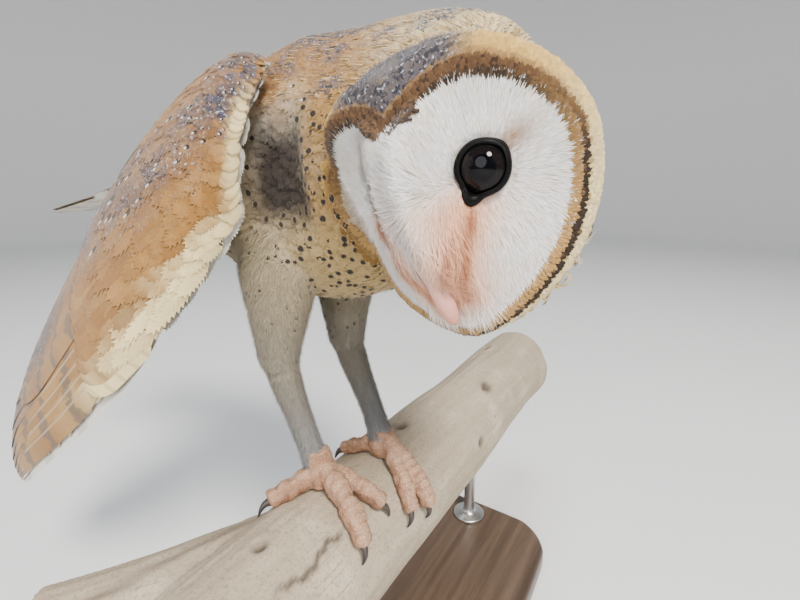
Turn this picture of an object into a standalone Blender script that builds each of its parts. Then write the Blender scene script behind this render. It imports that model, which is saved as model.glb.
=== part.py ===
"""Barn owl, a still life-size model on a cut length of log held by a plain display stand.

The owl faces -Y, its left side is +X and up is +Z.  The origin lies on the underside of the
stand's base, straight below the middle of the two feet.  Lengths named _MM are in millimetres.
"""

import math

import bmesh
import bpy
import numpy as np
from mathutils import Matrix, Vector

MM = 0.001
GAP_MM = 0.3
FLAT_ANGLE = math.radians(0.4)

# Stand and perch
BASE_LENGTH_MM = 250.0
BASE_WIDTH_MM = 210.0
BASE_HEIGHT_MM = 14.0
BASE_CENTRE_MM = (45.0, 30.0)
BASE_CORNER_MM = 40.0
BASE_EDGE_MM = 3.0
ROD_RADIUS_MM = 4.5
ROD_FLANGE_RADIUS_MM = 13.0
ROD_PLACES_MM = (-52.0, 150.0)
PERCH_TOP_MM = 150.0
LOG_RADIUS_MM = 33.0
LOG_AXIS_Y_MM = -6.4
LOG_NEAR_END_MM = -128.0
LOG_FAR_END_MM = 276.0
LOG_ROUNDING_MM = 26.0
LIMB_RADIUS_MM = 27.0
LIMB_TURN_DEG = 33.0
LIMB_LENGTH_MM = 112.0

# Head: middle of the facial disc, and which way the face looks
HEAD_PLACE_MM = (-30.0, -68.0, 135.0)
HEAD_FORWARD = (-0.968, -0.040, -0.247)
HEAD_UP = (-0.249, 0.255, 0.934)
EYE_RADIUS_MM = 8.6
EYE_PLACE_MM = (17.6, -9.0, 8.8)
RIGHT_EYE_SHIFT_MM = (1.4, 2.6, 0.0)
SOCKET_DEPTH_MM = 1.4
SOCKET_RADIUS_MM = 9.0

# Body
WING_RIBS = 18

# Legs
TOE_RADIUS_MM = 4.6
CLAW_LENGTH_MM = 12.5
CLAW_RADIUS_MM = 2.3


def clear_scene():
    """Takes away every object that the file opens with."""
    for item in list(bpy.data.objects):
        bpy.data.objects.remove(item, do_unlink=True)


def through(stations, count):
    """Runs a smooth line through rows of numbers and returns count rows along it."""
    rows = np.array(stations, float)
    padded = np.vstack([2 * rows[0] - rows[1], rows, 2 * rows[-1] - rows[-2]])
    where = np.linspace(0, len(rows) - 1, count)
    start = np.minimum(where.astype(int), len(rows) - 2)
    t = (where - start)[:, None]
    a, b, c, d = (padded[start + k] for k in range(4))
    return 0.5 * (
        2 * b + (c - a) * t + (2 * a - 5 * b + 4 * c - d) * t**2 + (3 * b - a - 3 * c + d) * t**3
    )


def unit(rows):
    """Scales each row to length one."""
    rows = np.asarray(rows, float)
    return rows / np.maximum(np.linalg.norm(rows, axis=-1, keepdims=True), 1e-9)


def solid(name, rings, start=None, end=None, strips=False):
    """Joins closed rings of points, in millimetres above the perch, into one closed object.

    The two ends are closed by fans round a middle point, or by strips across a flat, bowed ring.
    """
    rings = np.asarray(rings, float)
    count, around = rings.shape[:2]
    first = rings[0].mean(axis=0) if start is None else np.asarray(start, float)
    last = rings[-1].mean(axis=0) if end is None else np.asarray(end, float)
    middles = np.zeros((0, 3)) if strips else np.vstack([first, last])
    points = np.vstack([rings.reshape(-1, 3), middles])
    points[:, 2] += PERCH_TOP_MM
    faces = []
    for i in range(count - 1):
        for j in range(around):
            k = (j + 1) % around
            faces.append((i * around + j, i * around + k, (i + 1) * around + k, (i + 1) * around + j))
    last_ring = (count - 1) * around
    for j in range(around):
        k = (j + 1) % around
        if not strips:
            faces.append((j, count * around, k))
            faces.append((last_ring + j, last_ring + k, count * around + 1))
        elif j < around // 2:
            across = [around - j, around - k] if j > 0 else [around - k]
            across = [m for m in across if m != k]
            faces.append([j, *across, k])
            faces.append([last_ring + m for m in [k, *across[::-1], j]])
    mesh = bpy.data.meshes.new(name)
    mesh.from_pydata([tuple(p * MM) for p in points], [], faces)
    shape = bmesh.new()
    shape.from_mesh(mesh)
    bmesh.ops.recalc_face_normals(shape, faces=shape.faces)
    bmesh.ops.triangulate(shape, faces=shape.faces)
    shape.to_mesh(mesh)
    shape.free()
    made = bpy.data.objects.new(name, mesh)
    bpy.context.scene.collection.objects.link(made)
    return made


def tube_rings(path, across, above, below, around, side_axis=(1.0, 0.0, 0.0)):
    """Sets an egg-shaped ring square to the path at each of its points."""
    path = np.asarray(path, float)
    along = unit(np.gradient(path, axis=0))
    side = np.asarray(side_axis, float) - along * (along @ np.asarray(side_axis, float))[:, None]
    side = unit(side)
    rise = unit(np.cross(along, side))
    rise *= -1.0 if rise[:, 2].mean() < -0.01 else 1.0
    turn = np.linspace(0, 2 * math.pi, around, endpoint=False)
    reach = np.where(np.sin(turn)[None, :] > 0, np.asarray(above)[:, None], np.asarray(below)[:, None])
    return (
        path[:, None, :]
        + side[:, None, :] * (np.asarray(across)[:, None] * np.cos(turn)[None, :])[..., None]
        + rise[:, None, :] * (reach * np.sin(turn)[None, :])[..., None]
    )


def grown(source, by_mm):
    """Copies an object and moves its surface outwards by the given distance."""
    twin = source.copy()
    twin.data = source.data.copy()
    twin.name = source.name + "_cutter"
    bpy.context.scene.collection.objects.link(twin)
    shape = bmesh.new()
    shape.from_mesh(twin.data)
    bmesh.ops.triangulate(shape, faces=shape.faces)
    shape.normal_update()
    moves = [v.normal * (by_mm * MM * min(v.calc_shell_factor(), 2.0)) for v in shape.verts]
    for vertex, move in zip(shape.verts, moves):
        vertex.co += move
    shape.to_mesh(twin.data)
    shape.free()
    return twin


def join_shapes(target, other, operation):
    """Applies one exact boolean to the target and takes the other object away."""
    other.hide_render = True
    other.display_type = "WIRE"
    step = target.modifiers.new("shape", "BOOLEAN")
    step.operation = operation
    step.solver = "EXACT"
    step.use_self = True
    step.object = other
    view = bpy.context.evaluated_depsgraph_get()
    result = bpy.data.meshes.new_from_object(target.evaluated_get(view))
    target.modifiers.clear()
    target.data = result
    bpy.data.objects.remove(other, do_unlink=True)


def cut_clear(target, neighbour):
    """Trims the target so that it stops a thin gap away from its neighbour."""
    join_shapes(target, grown(neighbour, GAP_MM), "DIFFERENCE")


def keep_largest(target):
    """Keeps the largest connected piece of an object."""
    shape = bmesh.new()
    shape.from_mesh(target.data)
    shape.verts.ensure_lookup_table()
    left = set(range(len(shape.verts)))
    pieces = []
    while left:
        todo = [left.pop()]
        piece = set(todo)
        while todo:
            for edge in shape.verts[todo.pop()].link_edges:
                for vertex in edge.verts:
                    if vertex.index in left:
                        left.discard(vertex.index)
                        piece.add(vertex.index)
                        todo.append(vertex.index)
        pieces.append(piece)
    best = max(pieces, key=len)
    spare = [v for v in shape.verts if v.index not in best]
    bmesh.ops.delete(shape, geom=spare, context="VERTS")
    bmesh.ops.dissolve_limit(
        shape, angle_limit=FLAT_ANGLE, verts=shape.verts, edges=shape.edges, use_dissolve_boundaries=False
    )
    bmesh.ops.triangulate(shape, faces=shape.faces)
    shape.to_mesh(target.data)
    shape.free()


def finish(target, colour, roughness, metallic=0.0, smooth=True):
    """Gives an object its own material and shading."""
    material = bpy.data.materials.new(target.name + "_material")
    material.use_nodes = True
    shader = material.node_tree.nodes["Principled BSDF"]
    shader.inputs["Base Color"].default_value = (*colour, 1.0)
    shader.inputs["Roughness"].default_value = roughness
    shader.inputs["Metallic"].default_value = metallic
    target.data.materials.clear()
    target.data.materials.append(material)
    target.data.polygons.foreach_set("use_smooth", [smooth] * len(target.data.polygons))


# Trunk and neck: x, y, z, half width, height above, depth below
BODY_STATIONS = (
    (0.0, 152.0, 141.0, 11.0, 8.0, 8.0),
    (0.0, 140.0, 143.0, 19.0, 15.0, 14.0),
    (0.0, 112.0, 147.0, 29.0, 28.0, 27.0),
    (0.0, 75.0, 147.0, 38.0, 43.0, 43.0),
    (0.0, 40.0, 145.0, 42.0, 54.0, 54.0),
    (0.0, 8.0, 144.0, 43.0, 61.0, 58.0),
    (1.0, -20.0, 147.0, 41.0, 58.0, 53.0),
    (-1.0, -42.0, 150.0, 37.0, 55.0, 42.0),
    (-6.0, -60.0, 150.5, 35.0, 51.0, 34.0),
    (-14.0, -74.0, 149.0, 31.0, 44.0, 29.0),
)
BODY_RINGS = 18
NECK_RINGS = 5


def body_rings():
    rows = through(BODY_STATIONS, BODY_RINGS)
    return tube_rings(rows[:, :3], rows[:, 3], rows[:, 4], rows[:, 5], 22)


def build_trunk():
    return solid("trunk", body_rings()[: BODY_RINGS - NECK_RINGS + 1])


def build_neck():
    return solid("neck", body_rings()[BODY_RINGS - NECK_RINGS :])


# Facial disc: angle from the top in degrees, reach and depth of the rim, reach and depth of the
# ruff's crest behind it
DISC_STATIONS = (
    (0.0, 27.6, -23.5, 49.0, -1.0),
    (35.0, 41.5, -10.0, 51.0, 0.0),
    (70.0, 45.0, -1.2, 50.5, 7.0),
    (100.0, 40.5, -0.2, 46.5, 8.0),
    (140.0, 38.6, -9.2, 44.5, -1.0),
    (180.0, 41.0, -16.6, 46.0, -9.0),
)
FACE_MIDDLE_Y_MM = -23.0
FACE_DISH = 1.4
LOBE_HEIGHT_MM = 16.5
LOBE_WIDTH_MM = 11.0
RIGHT_LOBE_WIDTH_MM = 12.4
CREASE_SHARE = 0.34
CREASE_WIDTH_MM = 2.6
RIGHT_CREASE_WIDTH_MM = 8.5
RIGHT_EDGE_BACK_MM = 9.0
RIGHT_CORNER_OUT_MM = 3.5
NAPE_Y_MM = 36.0
NAPE_Z_MM = 6.0


def disc_line(angles):
    """Reach and depth of the rim and the crest for each angle, mirrored left to right."""
    folded = np.abs((angles + math.pi) % (2 * math.pi) - math.pi)
    table = through(DISC_STATIONS, 181)
    degrees = np.degrees(folded)
    return [np.interp(degrees, table[:, 0], table[:, k]) for k in range(1, 5)]


def head_points(angles, reach):
    """Head surface: reach 0 to 1 crosses the face, 1 to 2 the ruff and 2 to 3 the back."""
    rim, rim_y, crest, crest_y = disc_line(angles)
    inner = np.clip(reach, 0, 1)
    ruff = np.clip(reach - 1, 0, 1)
    back = np.clip(reach - 2, 0, 1) * math.pi / 2
    radius = rim * inner + (crest - rim) * np.sin(ruff * math.pi / 2)
    depth = FACE_MIDDLE_Y_MM * (1 - inner**FACE_DISH) + rim_y * inner**FACE_DISH
    depth = depth + (crest_y - rim_y) * (1 - np.cos(ruff * math.pi / 2))
    depth = depth + (NAPE_Y_MM - crest_y) * np.sin(back)
    radius = radius * np.cos(back) ** 1.15
    x = radius * np.sin(angles)
    z = radius * np.cos(angles) + NAPE_Z_MM * np.sin(back)
    fall = 1 / (1 + np.exp(-(z + 17.0) / 4.5))
    wide = np.where(x < 0, RIGHT_LOBE_WIDTH_MM, LOBE_WIDTH_MM)
    lobe = np.exp(-((x / wide) ** 4)) * fall * (1 - inner**5)
    crease = np.where(x < -0.6, RIGHT_CREASE_WIDTH_MM, CREASE_WIDTH_MM)
    lobe = lobe * (1 - CREASE_SHARE * np.exp(-(((x + 0.6) / crease) ** 2)))
    eye_x = np.abs(x) - EYE_PLACE_MM[0] - 3.6
    near_eye = np.exp(-((eye_x**2 + (z - EYE_PLACE_MM[2]) ** 2) / SOCKET_RADIUS_MM**2)) * (reach < 1)
    depth = depth - LOBE_HEIGHT_MM * lobe + SOCKET_DEPTH_MM * near_eye
    folded = np.clip((-x - 22) / 22, 0, 1) ** 2 * np.exp(-((z / 22) ** 2))
    corner = np.clip((-x - 8) / 16, 0, 1) * np.exp(-(((z - 36) / 9) ** 2))
    depth = depth + RIGHT_EDGE_BACK_MM * folded - RIGHT_CORNER_OUT_MM * corner
    return np.stack([x - RIGHT_CORNER_OUT_MM / 2 * corner, depth, z], axis=-1)


def head_matrix():
    """Turns head measures, x left, y back and z up, into the owl's own."""
    forward = Vector(HEAD_FORWARD).normalized()
    rise = Vector(HEAD_UP)
    rise = (rise - forward * rise.dot(forward)).normalized()
    back = -forward
    left = back.cross(rise)
    turned = Matrix((left, back, rise)).transposed()
    return np.array(turned)


def on_head(points):
    """Places points given in head measures."""
    return np.asarray(points, float) @ head_matrix().T + np.array(HEAD_PLACE_MM)


def build_head():
    angles = np.linspace(0, 2 * math.pi, 32, endpoint=False)
    face = np.linspace(0.14, 1.0, 7)
    ruff = np.linspace(1.3, 2.0, 3)
    back = np.linspace(2.2, 2.9, 4)
    reach = np.concatenate([face, ruff, back])
    grid_a, grid_r = np.meshgrid(angles, reach)
    tip = head_points(np.zeros(1), np.zeros(1))[0]
    rear = head_points(np.zeros(1), np.full(1, 3.0))[0]
    return solid("head", on_head(head_points(grid_a, grid_r)), on_head(tip), on_head(rear))


def build_eye(side, name):
    turn = np.linspace(0, 2 * math.pi, 12, endpoint=False)
    rings = []
    for fall in np.linspace(0.35, math.pi - 0.45, 6):
        level = np.full(12, math.cos(fall))
        ring = np.stack([np.cos(turn) * math.sin(fall), level, np.sin(turn) * math.sin(fall)], -1)
        rings.append(ring * EYE_RADIUS_MM)
    centre = np.array([side * EYE_PLACE_MM[0], EYE_PLACE_MM[1], EYE_PLACE_MM[2]])
    if side < 0:
        centre = centre + np.array(RIGHT_EYE_SHIFT_MM)
    front = centre + np.array([0.0, EYE_RADIUS_MM, 0.0])
    rear = centre - np.array([0.0, EYE_RADIUS_MM, 0.0])
    return solid(name, on_head(np.array(rings) + centre), on_head(front), on_head(rear))


# Bill: y, z, half width, half depth in head measures
UPPER_BILL_STATIONS = (
    (-19.5, -8.0, 4.0, 4.4),
    (-24.2, -13.0, 4.2, 4.6),
    (-25.4, -19.5, 3.9, 4.0),
    (-24.8, -26.0, 3.0, 3.0),
    (-23.4, -31.0, 1.7, 1.7),
    (-22.6, -33.0, 0.6, 0.6),
)
LOWER_BILL_STATIONS = (
    (-14.5, -21.5, 3.2, 2.0),
    (-18.4, -26.0, 2.6, 1.7),
    (-20.4, -29.6, 1.0, 0.8),
)


def build_bill(stations, name):
    rows = through(stations, 6)
    path = np.stack([np.zeros(len(rows)), rows[:, 0], rows[:, 1]], axis=-1)
    rings = tube_rings(path, rows[:, 2], rows[:, 3], rows[:, 3], 10)
    return solid(name, on_head(rings))


# Wings: top edge then lower edge as x, y, z on the owl's left, and thickness
LEFT_WING_STATIONS = (
    (30.0, -8.0, 187.0, 44.0, -14.0, 131.0, 6.0),
    (34.0, 6.0, 194.0, 51.0, 0.0, 118.0, 12.0),
    (35.0, 40.0, 193.0, 55.0, 30.0, 111.0, 13.0),
    (33.0, 85.0, 184.0, 52.0, 72.0, 111.0, 11.0),
    (29.0, 130.0, 172.0, 44.0, 122.0, 117.0, 8.0),
    (24.0, 175.0, 160.0, 34.0, 170.0, 124.0, 6.0),
    (20.0, 215.0, 149.0, 25.0, 214.0, 131.0, 4.0),
    (19.0, 240.0, 141.0, 20.0, 240.0, 138.0, 2.0),
)
RIGHT_WING_STATIONS = (
    (-36.0, 3.0, 186.0, -52.0, 8.0, 130.0, 6.0),
    (-40.0, 18.0, 188.0, -60.0, 20.0, 109.0, 12.0),
    (-43.0, 48.0, 175.0, -69.0, 42.0, 82.0, 13.0),
    (-46.0, 84.0, 150.0, -78.0, 74.0, 50.0, 11.0),
    (-51.0, 118.0, 116.0, -85.0, 108.0, 18.0, 8.0),
    (-58.0, 150.0, 76.0, -89.0, 142.0, -8.0, 6.0),
    (-67.0, 178.0, 30.0, -88.0, 173.0, -28.0, 4.0),
    (-78.0, 194.0, -14.0, -83.0, 194.0, -36.0, 2.0),
)
WING_BULGE_MM = 12.0


def wing_rings(stations, outward, ribs, around):
    """Lens-shaped sections from a wing's top edge to its lower edge, bowed outwards."""
    rows = through(stations, ribs)
    top = rows[:, 0:3]
    low = rows[:, 3:6]
    thick = rows[:, 6]
    chord = unit(low - top)
    along = unit(np.gradient((top + low) / 2, axis=0))
    face = unit(np.cross(chord, along)) * outward
    turn = np.linspace(0, 2 * math.pi, around, endpoint=False)
    share = (1 - np.cos(turn)) / 2
    bow = np.minimum(np.linalg.norm(low - top, axis=1) / 80.0, 1.0) * WING_BULGE_MM
    lift = bow[:, None] * (4 * share * (1 - share))[None, :]
    lens = thick[:, None] / 2 * np.sign(np.sin(turn)) * np.abs(np.sin(turn))[None, :] ** 0.8
    span = top[:, None, :] + (low - top)[:, None, :] * share[None, :, None]
    return span + face[:, None, :] * (lift + lens)[..., None]


def build_wing(stations, outward, name):
    return solid(name, wing_rings(stations, outward, WING_RIBS, 14), strips=True)


# Tail: y, z, half width, half thickness
TAIL_STATIONS = (
    (140.0, 144.0, 17.0, 8.0),
    (156.0, 141.0, 20.0, 7.0),
    (185.0, 135.5, 24.0, 4.4),
    (215.0, 129.5, 27.5, 3.0),
    (236.0, 125.5, 29.0, 2.0),
    (245.0, 123.8, 26.0, 1.2),
)


def build_tail():
    rows = through(TAIL_STATIONS, 9)
    path = np.stack([np.zeros(len(rows)), rows[:, 0], rows[:, 1]], axis=-1)
    return solid("tail", tube_rings(path, rows[:, 2], rows[:, 3], rows[:, 3], 14))


# Legs: x, y, z, half width, half depth fore and aft
THIGH_STATIONS = {
    "left": (
        (22.0, 18.0, 122.0, 15.0, 22.0),
        (20.5, 18.0, 104.0, 16.0, 21.0),
        (19.0, 17.5, 86.0, 13.8, 16.0),
        (17.0, 16.0, 70.0, 11.0, 12.0),
        (16.0, 15.0, 58.0, 9.2, 10.0),
    ),
    "right": (
        (-23.0, 20.0, 122.0, 15.0, 22.0),
        (-25.0, 20.0, 104.0, 16.0, 21.0),
        (-26.0, 20.5, 86.0, 13.8, 16.0),
        (-26.5, 21.5, 70.0, 11.0, 12.0),
        (-26.5, 22.0, 58.0, 9.2, 10.0),
    ),
}
SHANK_STATIONS = {
    "left": (
        (16.2, 15.2, 61.0, 8.6, 9.0),
        (15.2, 9.5, 48.0, 7.6, 8.4),
        (14.2, 2.0, 34.0, 6.6, 7.2),
        (13.2, -5.0, 20.0, 6.4, 6.8),
        (12.5, -10.0, 8.0, 7.2, 7.6),
    ),
    "right": (
        (-26.5, 21.8, 61.0, 8.6, 9.0),
        (-26.2, 18.0, 48.0, 7.6, 8.4),
        (-25.6, 12.5, 34.0, 6.6, 7.2),
        (-25.0, 7.0, 20.0, 6.4, 6.8),
        (-24.6, 2.5, 9.0, 7.2, 7.6),
    ),
}


def build_limb(stations, name):
    rows = through(stations, 7)
    return solid(name, tube_rings(rows[:, :3], rows[:, 3], rows[:, 4], rows[:, 4], 14))


def on_log(x, turn, lift):
    """Places a point above the log's surface, turned forwards from its top."""
    reach = LOG_RADIUS_MM + lift
    x, turn, reach = np.broadcast_arrays(x, turn, reach)
    y = LOG_AXIS_Y_MM - reach * np.sin(turn)
    z = -LOG_RADIUS_MM + reach * np.cos(turn)
    return np.stack([x, y, z], axis=-1)


# Feet: sideways place and turn round the log; then each toe's end and its width share
FEET = {
    "left": (12.5, 0.10, 9.0),
    "right": (-24.6, -0.16, 12.5),
}
TOES = {
    "left": {
        "hallux": (5.0, -0.52, 0.86),
        "inner": (-4.0, 1.06, 0.95),
        "middle": (9.5, 1.20, 1.08),
        "outer": (32.0, -0.22, 0.98),
    },
    "right": {
        "hallux": (-14.5, -0.80, 0.86),
        "inner": (-16.5, 0.72, 0.98),
        "middle": (-38.5, 0.90, 1.08),
        "outer": (-46.5, -0.58, 1.02),
    },
}


def toe_path(side, toe, count):
    """Middle line of a toe from the palm to its end, lying on the log."""
    x0, turn0, rise = FEET[side]
    x1, turn1, width = TOES[side][toe]
    t = np.linspace(0.0, 1.0, count)
    lift = TOE_RADIUS_MM * width * (0.95 - 0.05 * t) + 3.6 * np.exp(-((t / 0.30) ** 2))
    return on_log(x0 + (x1 - x0) * t, turn0 + (turn1 - turn0) * t, lift), t


def build_foot(side):
    parts = []
    for toe, (x1, turn1, width) in TOES[side].items():
        path, t = toe_path(side, toe, 8)
        pads = 1 + 0.08 * np.cos(t * 6 * math.pi)
        radius = TOE_RADIUS_MM * width * pads * (1.10 - 0.16 * t)
        radius[-1] *= 0.55
        radius[-2] *= 0.94
        out = unit(path[-1] - np.array([path[-1][0], LOG_AXIS_Y_MM, -LOG_RADIUS_MM]))
        rings = tube_rings(path, radius, radius * 0.95, radius * 0.95, 8, side_axis=out)
        end = path[-1] + unit(path[-1] - path[-2]) * TOE_RADIUS_MM * 0.45
        parts.append(solid("foot_" + side if not parts else toe, rings, end=end))
    x0, turn0, rise = FEET[side]
    palm = through(((rise, 6.4), (6.5, 8.4), (1.0, 7.4)), 4)
    path = np.stack([on_log(x0, turn0 * (1 - 0.15 * k), lift) for k, lift in enumerate(palm[:, 0])])
    parts.append(solid("palm", tube_rings(path, palm[:, 1], palm[:, 1], palm[:, 1], 12)))
    foot = parts[0]
    for extra in parts[1:]:
        join_shapes(foot, extra, "UNION")
    return foot


def build_claw(side, toe):
    """Curved claw that carries on from a toe and hooks down against the log."""
    x0, turn0, rise = FEET[side]
    x1, turn1, width = TOES[side][toe]
    sign = 1.0 if turn1 > turn0 else -1.0
    t = np.linspace(0, 1, 6)
    reach = LOG_RADIUS_MM + TOE_RADIUS_MM
    lead = (x1 - x0) / (abs(turn1 - turn0) * reach)
    run = CLAW_LENGTH_MM * (t - 0.08) / math.sqrt(1 + lead * lead)
    lift = TOE_RADIUS_MM * width + 1.4 * np.sin(t * math.pi) - 4.0 * t**1.6
    path = on_log(x1 + run * lead, turn1 + sign * run / reach, lift)
    radius = CLAW_RADIUS_MM * (1 - t) ** 0.7 + 0.28
    return solid("claw_" + toe + "_" + side, tube_rings(path, radius, radius, radius, 7))


def build_log():
    """Peeled log with a rounded far end, a sawn near end and the stump of a second limb."""
    turn = np.linspace(0, 2 * math.pi, 24, endpoint=False)
    shoulder = LOG_FAR_END_MM - LOG_ROUNDING_MM
    tip = LOG_FAR_END_MM - LOG_ROUNDING_MM * np.array([0.62, 0.32, 0.12, 0.03])
    along = np.concatenate([np.linspace(LOG_NEAR_END_MM, shoulder, 12), tip])
    end = np.clip((along - shoulder) / LOG_ROUNDING_MM, 0, 1)
    rounding = np.sqrt(np.maximum(1 - (end * 0.985) ** 2.6, 0.0))
    grid_a, grid_t = np.meshgrid(along, turn, indexing="ij")
    wave = 0.8 * np.sin(grid_a * 0.021 + 2 * grid_t) + 0.6 * np.sin(grid_a * 0.043 - 3 * grid_t + 1.0)
    quiet = np.exp(-((grid_a / 60.0) ** 2))
    radius = (LOG_RADIUS_MM + wave * (1 - quiet)) * rounding[:, None]
    rings = np.stack(
        [
            grid_a,
            LOG_AXIS_Y_MM + radius * np.cos(grid_t),
            -LOG_RADIUS_MM + radius * np.sin(grid_t),
        ],
        axis=-1,
    )
    log = solid("perch_log", rings)
    angle = math.radians(LIMB_TURN_DEG)
    lead = np.array([-math.cos(angle), math.sin(angle), -0.04])
    side = np.array([math.sin(angle), math.cos(angle), 0.0])
    steps = np.linspace(0, LIMB_LENGTH_MM, 4)
    swell = LIMB_RADIUS_MM + 0.7 * np.sin(steps * 0.06)
    centre = np.array([-34.0, LOG_AXIS_Y_MM + 1.0, -LOG_RADIUS_MM - 1.0]) + steps[:, None] * lead
    ring = (
        centre[:, None, :]
        + side * (swell[:, None] * np.cos(turn[::-1])[None, :])[..., None]
        + np.array([0, 0, 1.0]) * (swell[:, None] * np.sin(turn[::-1])[None, :])[..., None]
    )
    join_shapes(log, solid("limb", ring), "UNION")
    return log


def build_base():
    shape = bmesh.new()
    bmesh.ops.create_cube(shape, size=1.0)
    mesh = bpy.data.meshes.new("stand_base")
    for vertex in shape.verts:
        vertex.co.x = (vertex.co.x * BASE_LENGTH_MM + BASE_CENTRE_MM[0]) * MM
        vertex.co.y = (vertex.co.y * BASE_WIDTH_MM + BASE_CENTRE_MM[1]) * MM
        vertex.co.z = (vertex.co.z + 0.5) * BASE_HEIGHT_MM * MM
    upright = [e for e in shape.edges if abs(e.verts[0].co.z - e.verts[1].co.z) > 0.5 * BASE_HEIGHT_MM * MM]
    bmesh.ops.bevel(shape, geom=upright, offset=BASE_CORNER_MM * MM, segments=5, affect="EDGES", profile=0.5)
    top = [e for e in shape.edges if min(v.co.z for v in e.verts) > 0.9 * BASE_HEIGHT_MM * MM]
    bmesh.ops.bevel(shape, geom=top, offset=BASE_EDGE_MM * MM, segments=2, affect="EDGES", profile=0.5)
    bmesh.ops.recalc_face_normals(shape, faces=shape.faces)
    shape.to_mesh(mesh)
    shape.free()
    base = bpy.data.objects.new("stand_base", mesh)
    bpy.context.scene.collection.objects.link(base)
    return base


def build_rod(x, name):
    """Turned rod: a flange on the base, a slim shaft and a small cup under the log."""
    foot = BASE_HEIGHT_MM + GAP_MM - PERCH_TOP_MM
    head = -2 * LOG_RADIUS_MM + 6.0
    profile = (
        (ROD_FLANGE_RADIUS_MM, foot),
        (ROD_FLANGE_RADIUS_MM, foot + 2.0),
        (ROD_FLANGE_RADIUS_MM - 2.0, foot + 3.2),
        (ROD_RADIUS_MM + 1.0, foot + 4.4),
        (ROD_RADIUS_MM, foot + 7.0),
        (ROD_RADIUS_MM, head - 15.0),
        (ROD_RADIUS_MM + 1.0, head - 12.0),
        (ROD_RADIUS_MM + 5.5, head - 7.5),
        (ROD_RADIUS_MM + 5.5, head),
    )
    turn = np.linspace(0, 2 * math.pi, 12, endpoint=False)
    rings = [
        np.stack([x + r * np.cos(turn), LOG_AXIS_Y_MM + r * np.sin(turn), np.full(12, z)], -1)
        for r, z in profile
    ]
    return solid(name, rings)


def main():
    clear_scene()
    head = build_head()
    neck = build_neck()
    trunk = build_trunk()
    tail = build_tail()
    log = build_log()
    base = build_base()
    left_wing = build_wing(LEFT_WING_STATIONS, 1.0, "wing_left")
    right_wing = build_wing(RIGHT_WING_STATIONS, -1.0, "wing_right")
    upper = build_bill(UPPER_BILL_STATIONS, "bill_upper")
    lower = build_bill(LOWER_BILL_STATIONS, "bill_lower")
    cut_clear(lower, upper)
    keep_largest(lower)
    cut_clear(head, upper)
    cut_clear(head, lower)
    for side, word in ((1.0, "left"), (-1.0, "right")):
        eye = build_eye(side, "eye_" + word)
        cut_clear(head, eye)
        finish(eye, (0.012, 0.008, 0.006), 0.06)
    keep_largest(head)
    for wing in (left_wing, right_wing):
        cut_clear(trunk, wing)
        cut_clear(neck, wing)
    cut_clear(neck, head)
    cut_clear(neck, trunk)
    keep_largest(neck)
    cut_clear(trunk, head)
    keep_largest(trunk)
    cut_clear(tail, trunk)
    for wing in (left_wing, right_wing):
        cut_clear(tail, wing)
    keep_largest(tail)
    for side, word in ((1.0, "left"), (-1.0, "right")):
        thigh = build_limb(THIGH_STATIONS[word], "thigh_" + word)
        shank = build_limb(SHANK_STATIONS[word], "shank_" + word)
        foot = build_foot(word)
        cut_clear(thigh, trunk)
        cut_clear(thigh, left_wing if side > 0 else right_wing)
        keep_largest(thigh)
        cut_clear(shank, thigh)
        keep_largest(shank)
        cut_clear(foot, shank)
        cut_clear(foot, log)
        keep_largest(foot)
        for toe in TOES[word]:
            claw = build_claw(word, toe)
            cut_clear(claw, foot)
            cut_clear(claw, log)
            keep_largest(claw)
            finish(claw, (0.045, 0.036, 0.030), 0.35)
        finish(thigh, (0.62, 0.52, 0.38), 0.9)
        finish(shank, (0.66, 0.58, 0.47), 0.9)
        finish(foot, (0.62, 0.38, 0.29), 0.6)
    for x, word in zip(ROD_PLACES_MM, ("near", "far")):
        rod = build_rod(x, "stand_rod_" + word)
        cut_clear(rod, log)
        keep_largest(rod)
        finish(rod, (0.55, 0.55, 0.56), 0.3, 1.0)
    finish(head, (0.86, 0.80, 0.72), 0.9)
    finish(neck, (0.70, 0.50, 0.26), 0.9)
    finish(trunk, (0.74, 0.62, 0.44), 0.9)
    finish(tail, (0.66, 0.48, 0.27), 0.85)
    finish(left_wing, (0.63, 0.45, 0.25), 0.85)
    finish(right_wing, (0.63, 0.45, 0.25), 0.85)
    finish(upper, (0.80, 0.62, 0.55), 0.4)
    finish(lower, (0.76, 0.58, 0.52), 0.4)
    finish(log, (0.50, 0.44, 0.36), 0.85)
    finish(base, (0.16, 0.13, 0.11), 0.4)


main()
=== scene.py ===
"""Looks of the barn owl display model: skin, plumage, eyes, bill, feet, log and stand.

Lengths are in millimetres above the perch, the owl faces -Y and its left side is +X.
"""

import collections
import itertools
import math

import bmesh
import bpy
import numpy as np
from mathutils import Matrix, Vector


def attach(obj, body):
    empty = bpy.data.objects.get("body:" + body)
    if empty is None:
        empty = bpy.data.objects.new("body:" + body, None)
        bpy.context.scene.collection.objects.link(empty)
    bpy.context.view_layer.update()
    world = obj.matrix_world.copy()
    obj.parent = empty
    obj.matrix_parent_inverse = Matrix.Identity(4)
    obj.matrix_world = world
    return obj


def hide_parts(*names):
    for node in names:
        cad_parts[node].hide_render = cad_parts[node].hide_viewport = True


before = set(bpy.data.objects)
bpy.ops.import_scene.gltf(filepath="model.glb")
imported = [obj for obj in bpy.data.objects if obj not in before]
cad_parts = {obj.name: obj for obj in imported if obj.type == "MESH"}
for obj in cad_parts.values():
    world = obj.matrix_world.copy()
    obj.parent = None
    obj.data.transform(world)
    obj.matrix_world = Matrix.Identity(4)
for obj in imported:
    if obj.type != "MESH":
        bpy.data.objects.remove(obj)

bl_info = {
    "name": "Barn Owl Display Model",
    "version": (1, 0, 0),
    "blender": (4, 5, 0),
    "location": "3D View > Sidebar > Barn Owl",
    "description": "Builds the plumage, skin, eyes, bill, feet, log and stand of a still barn owl",
    "category": "Object",
}

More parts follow.
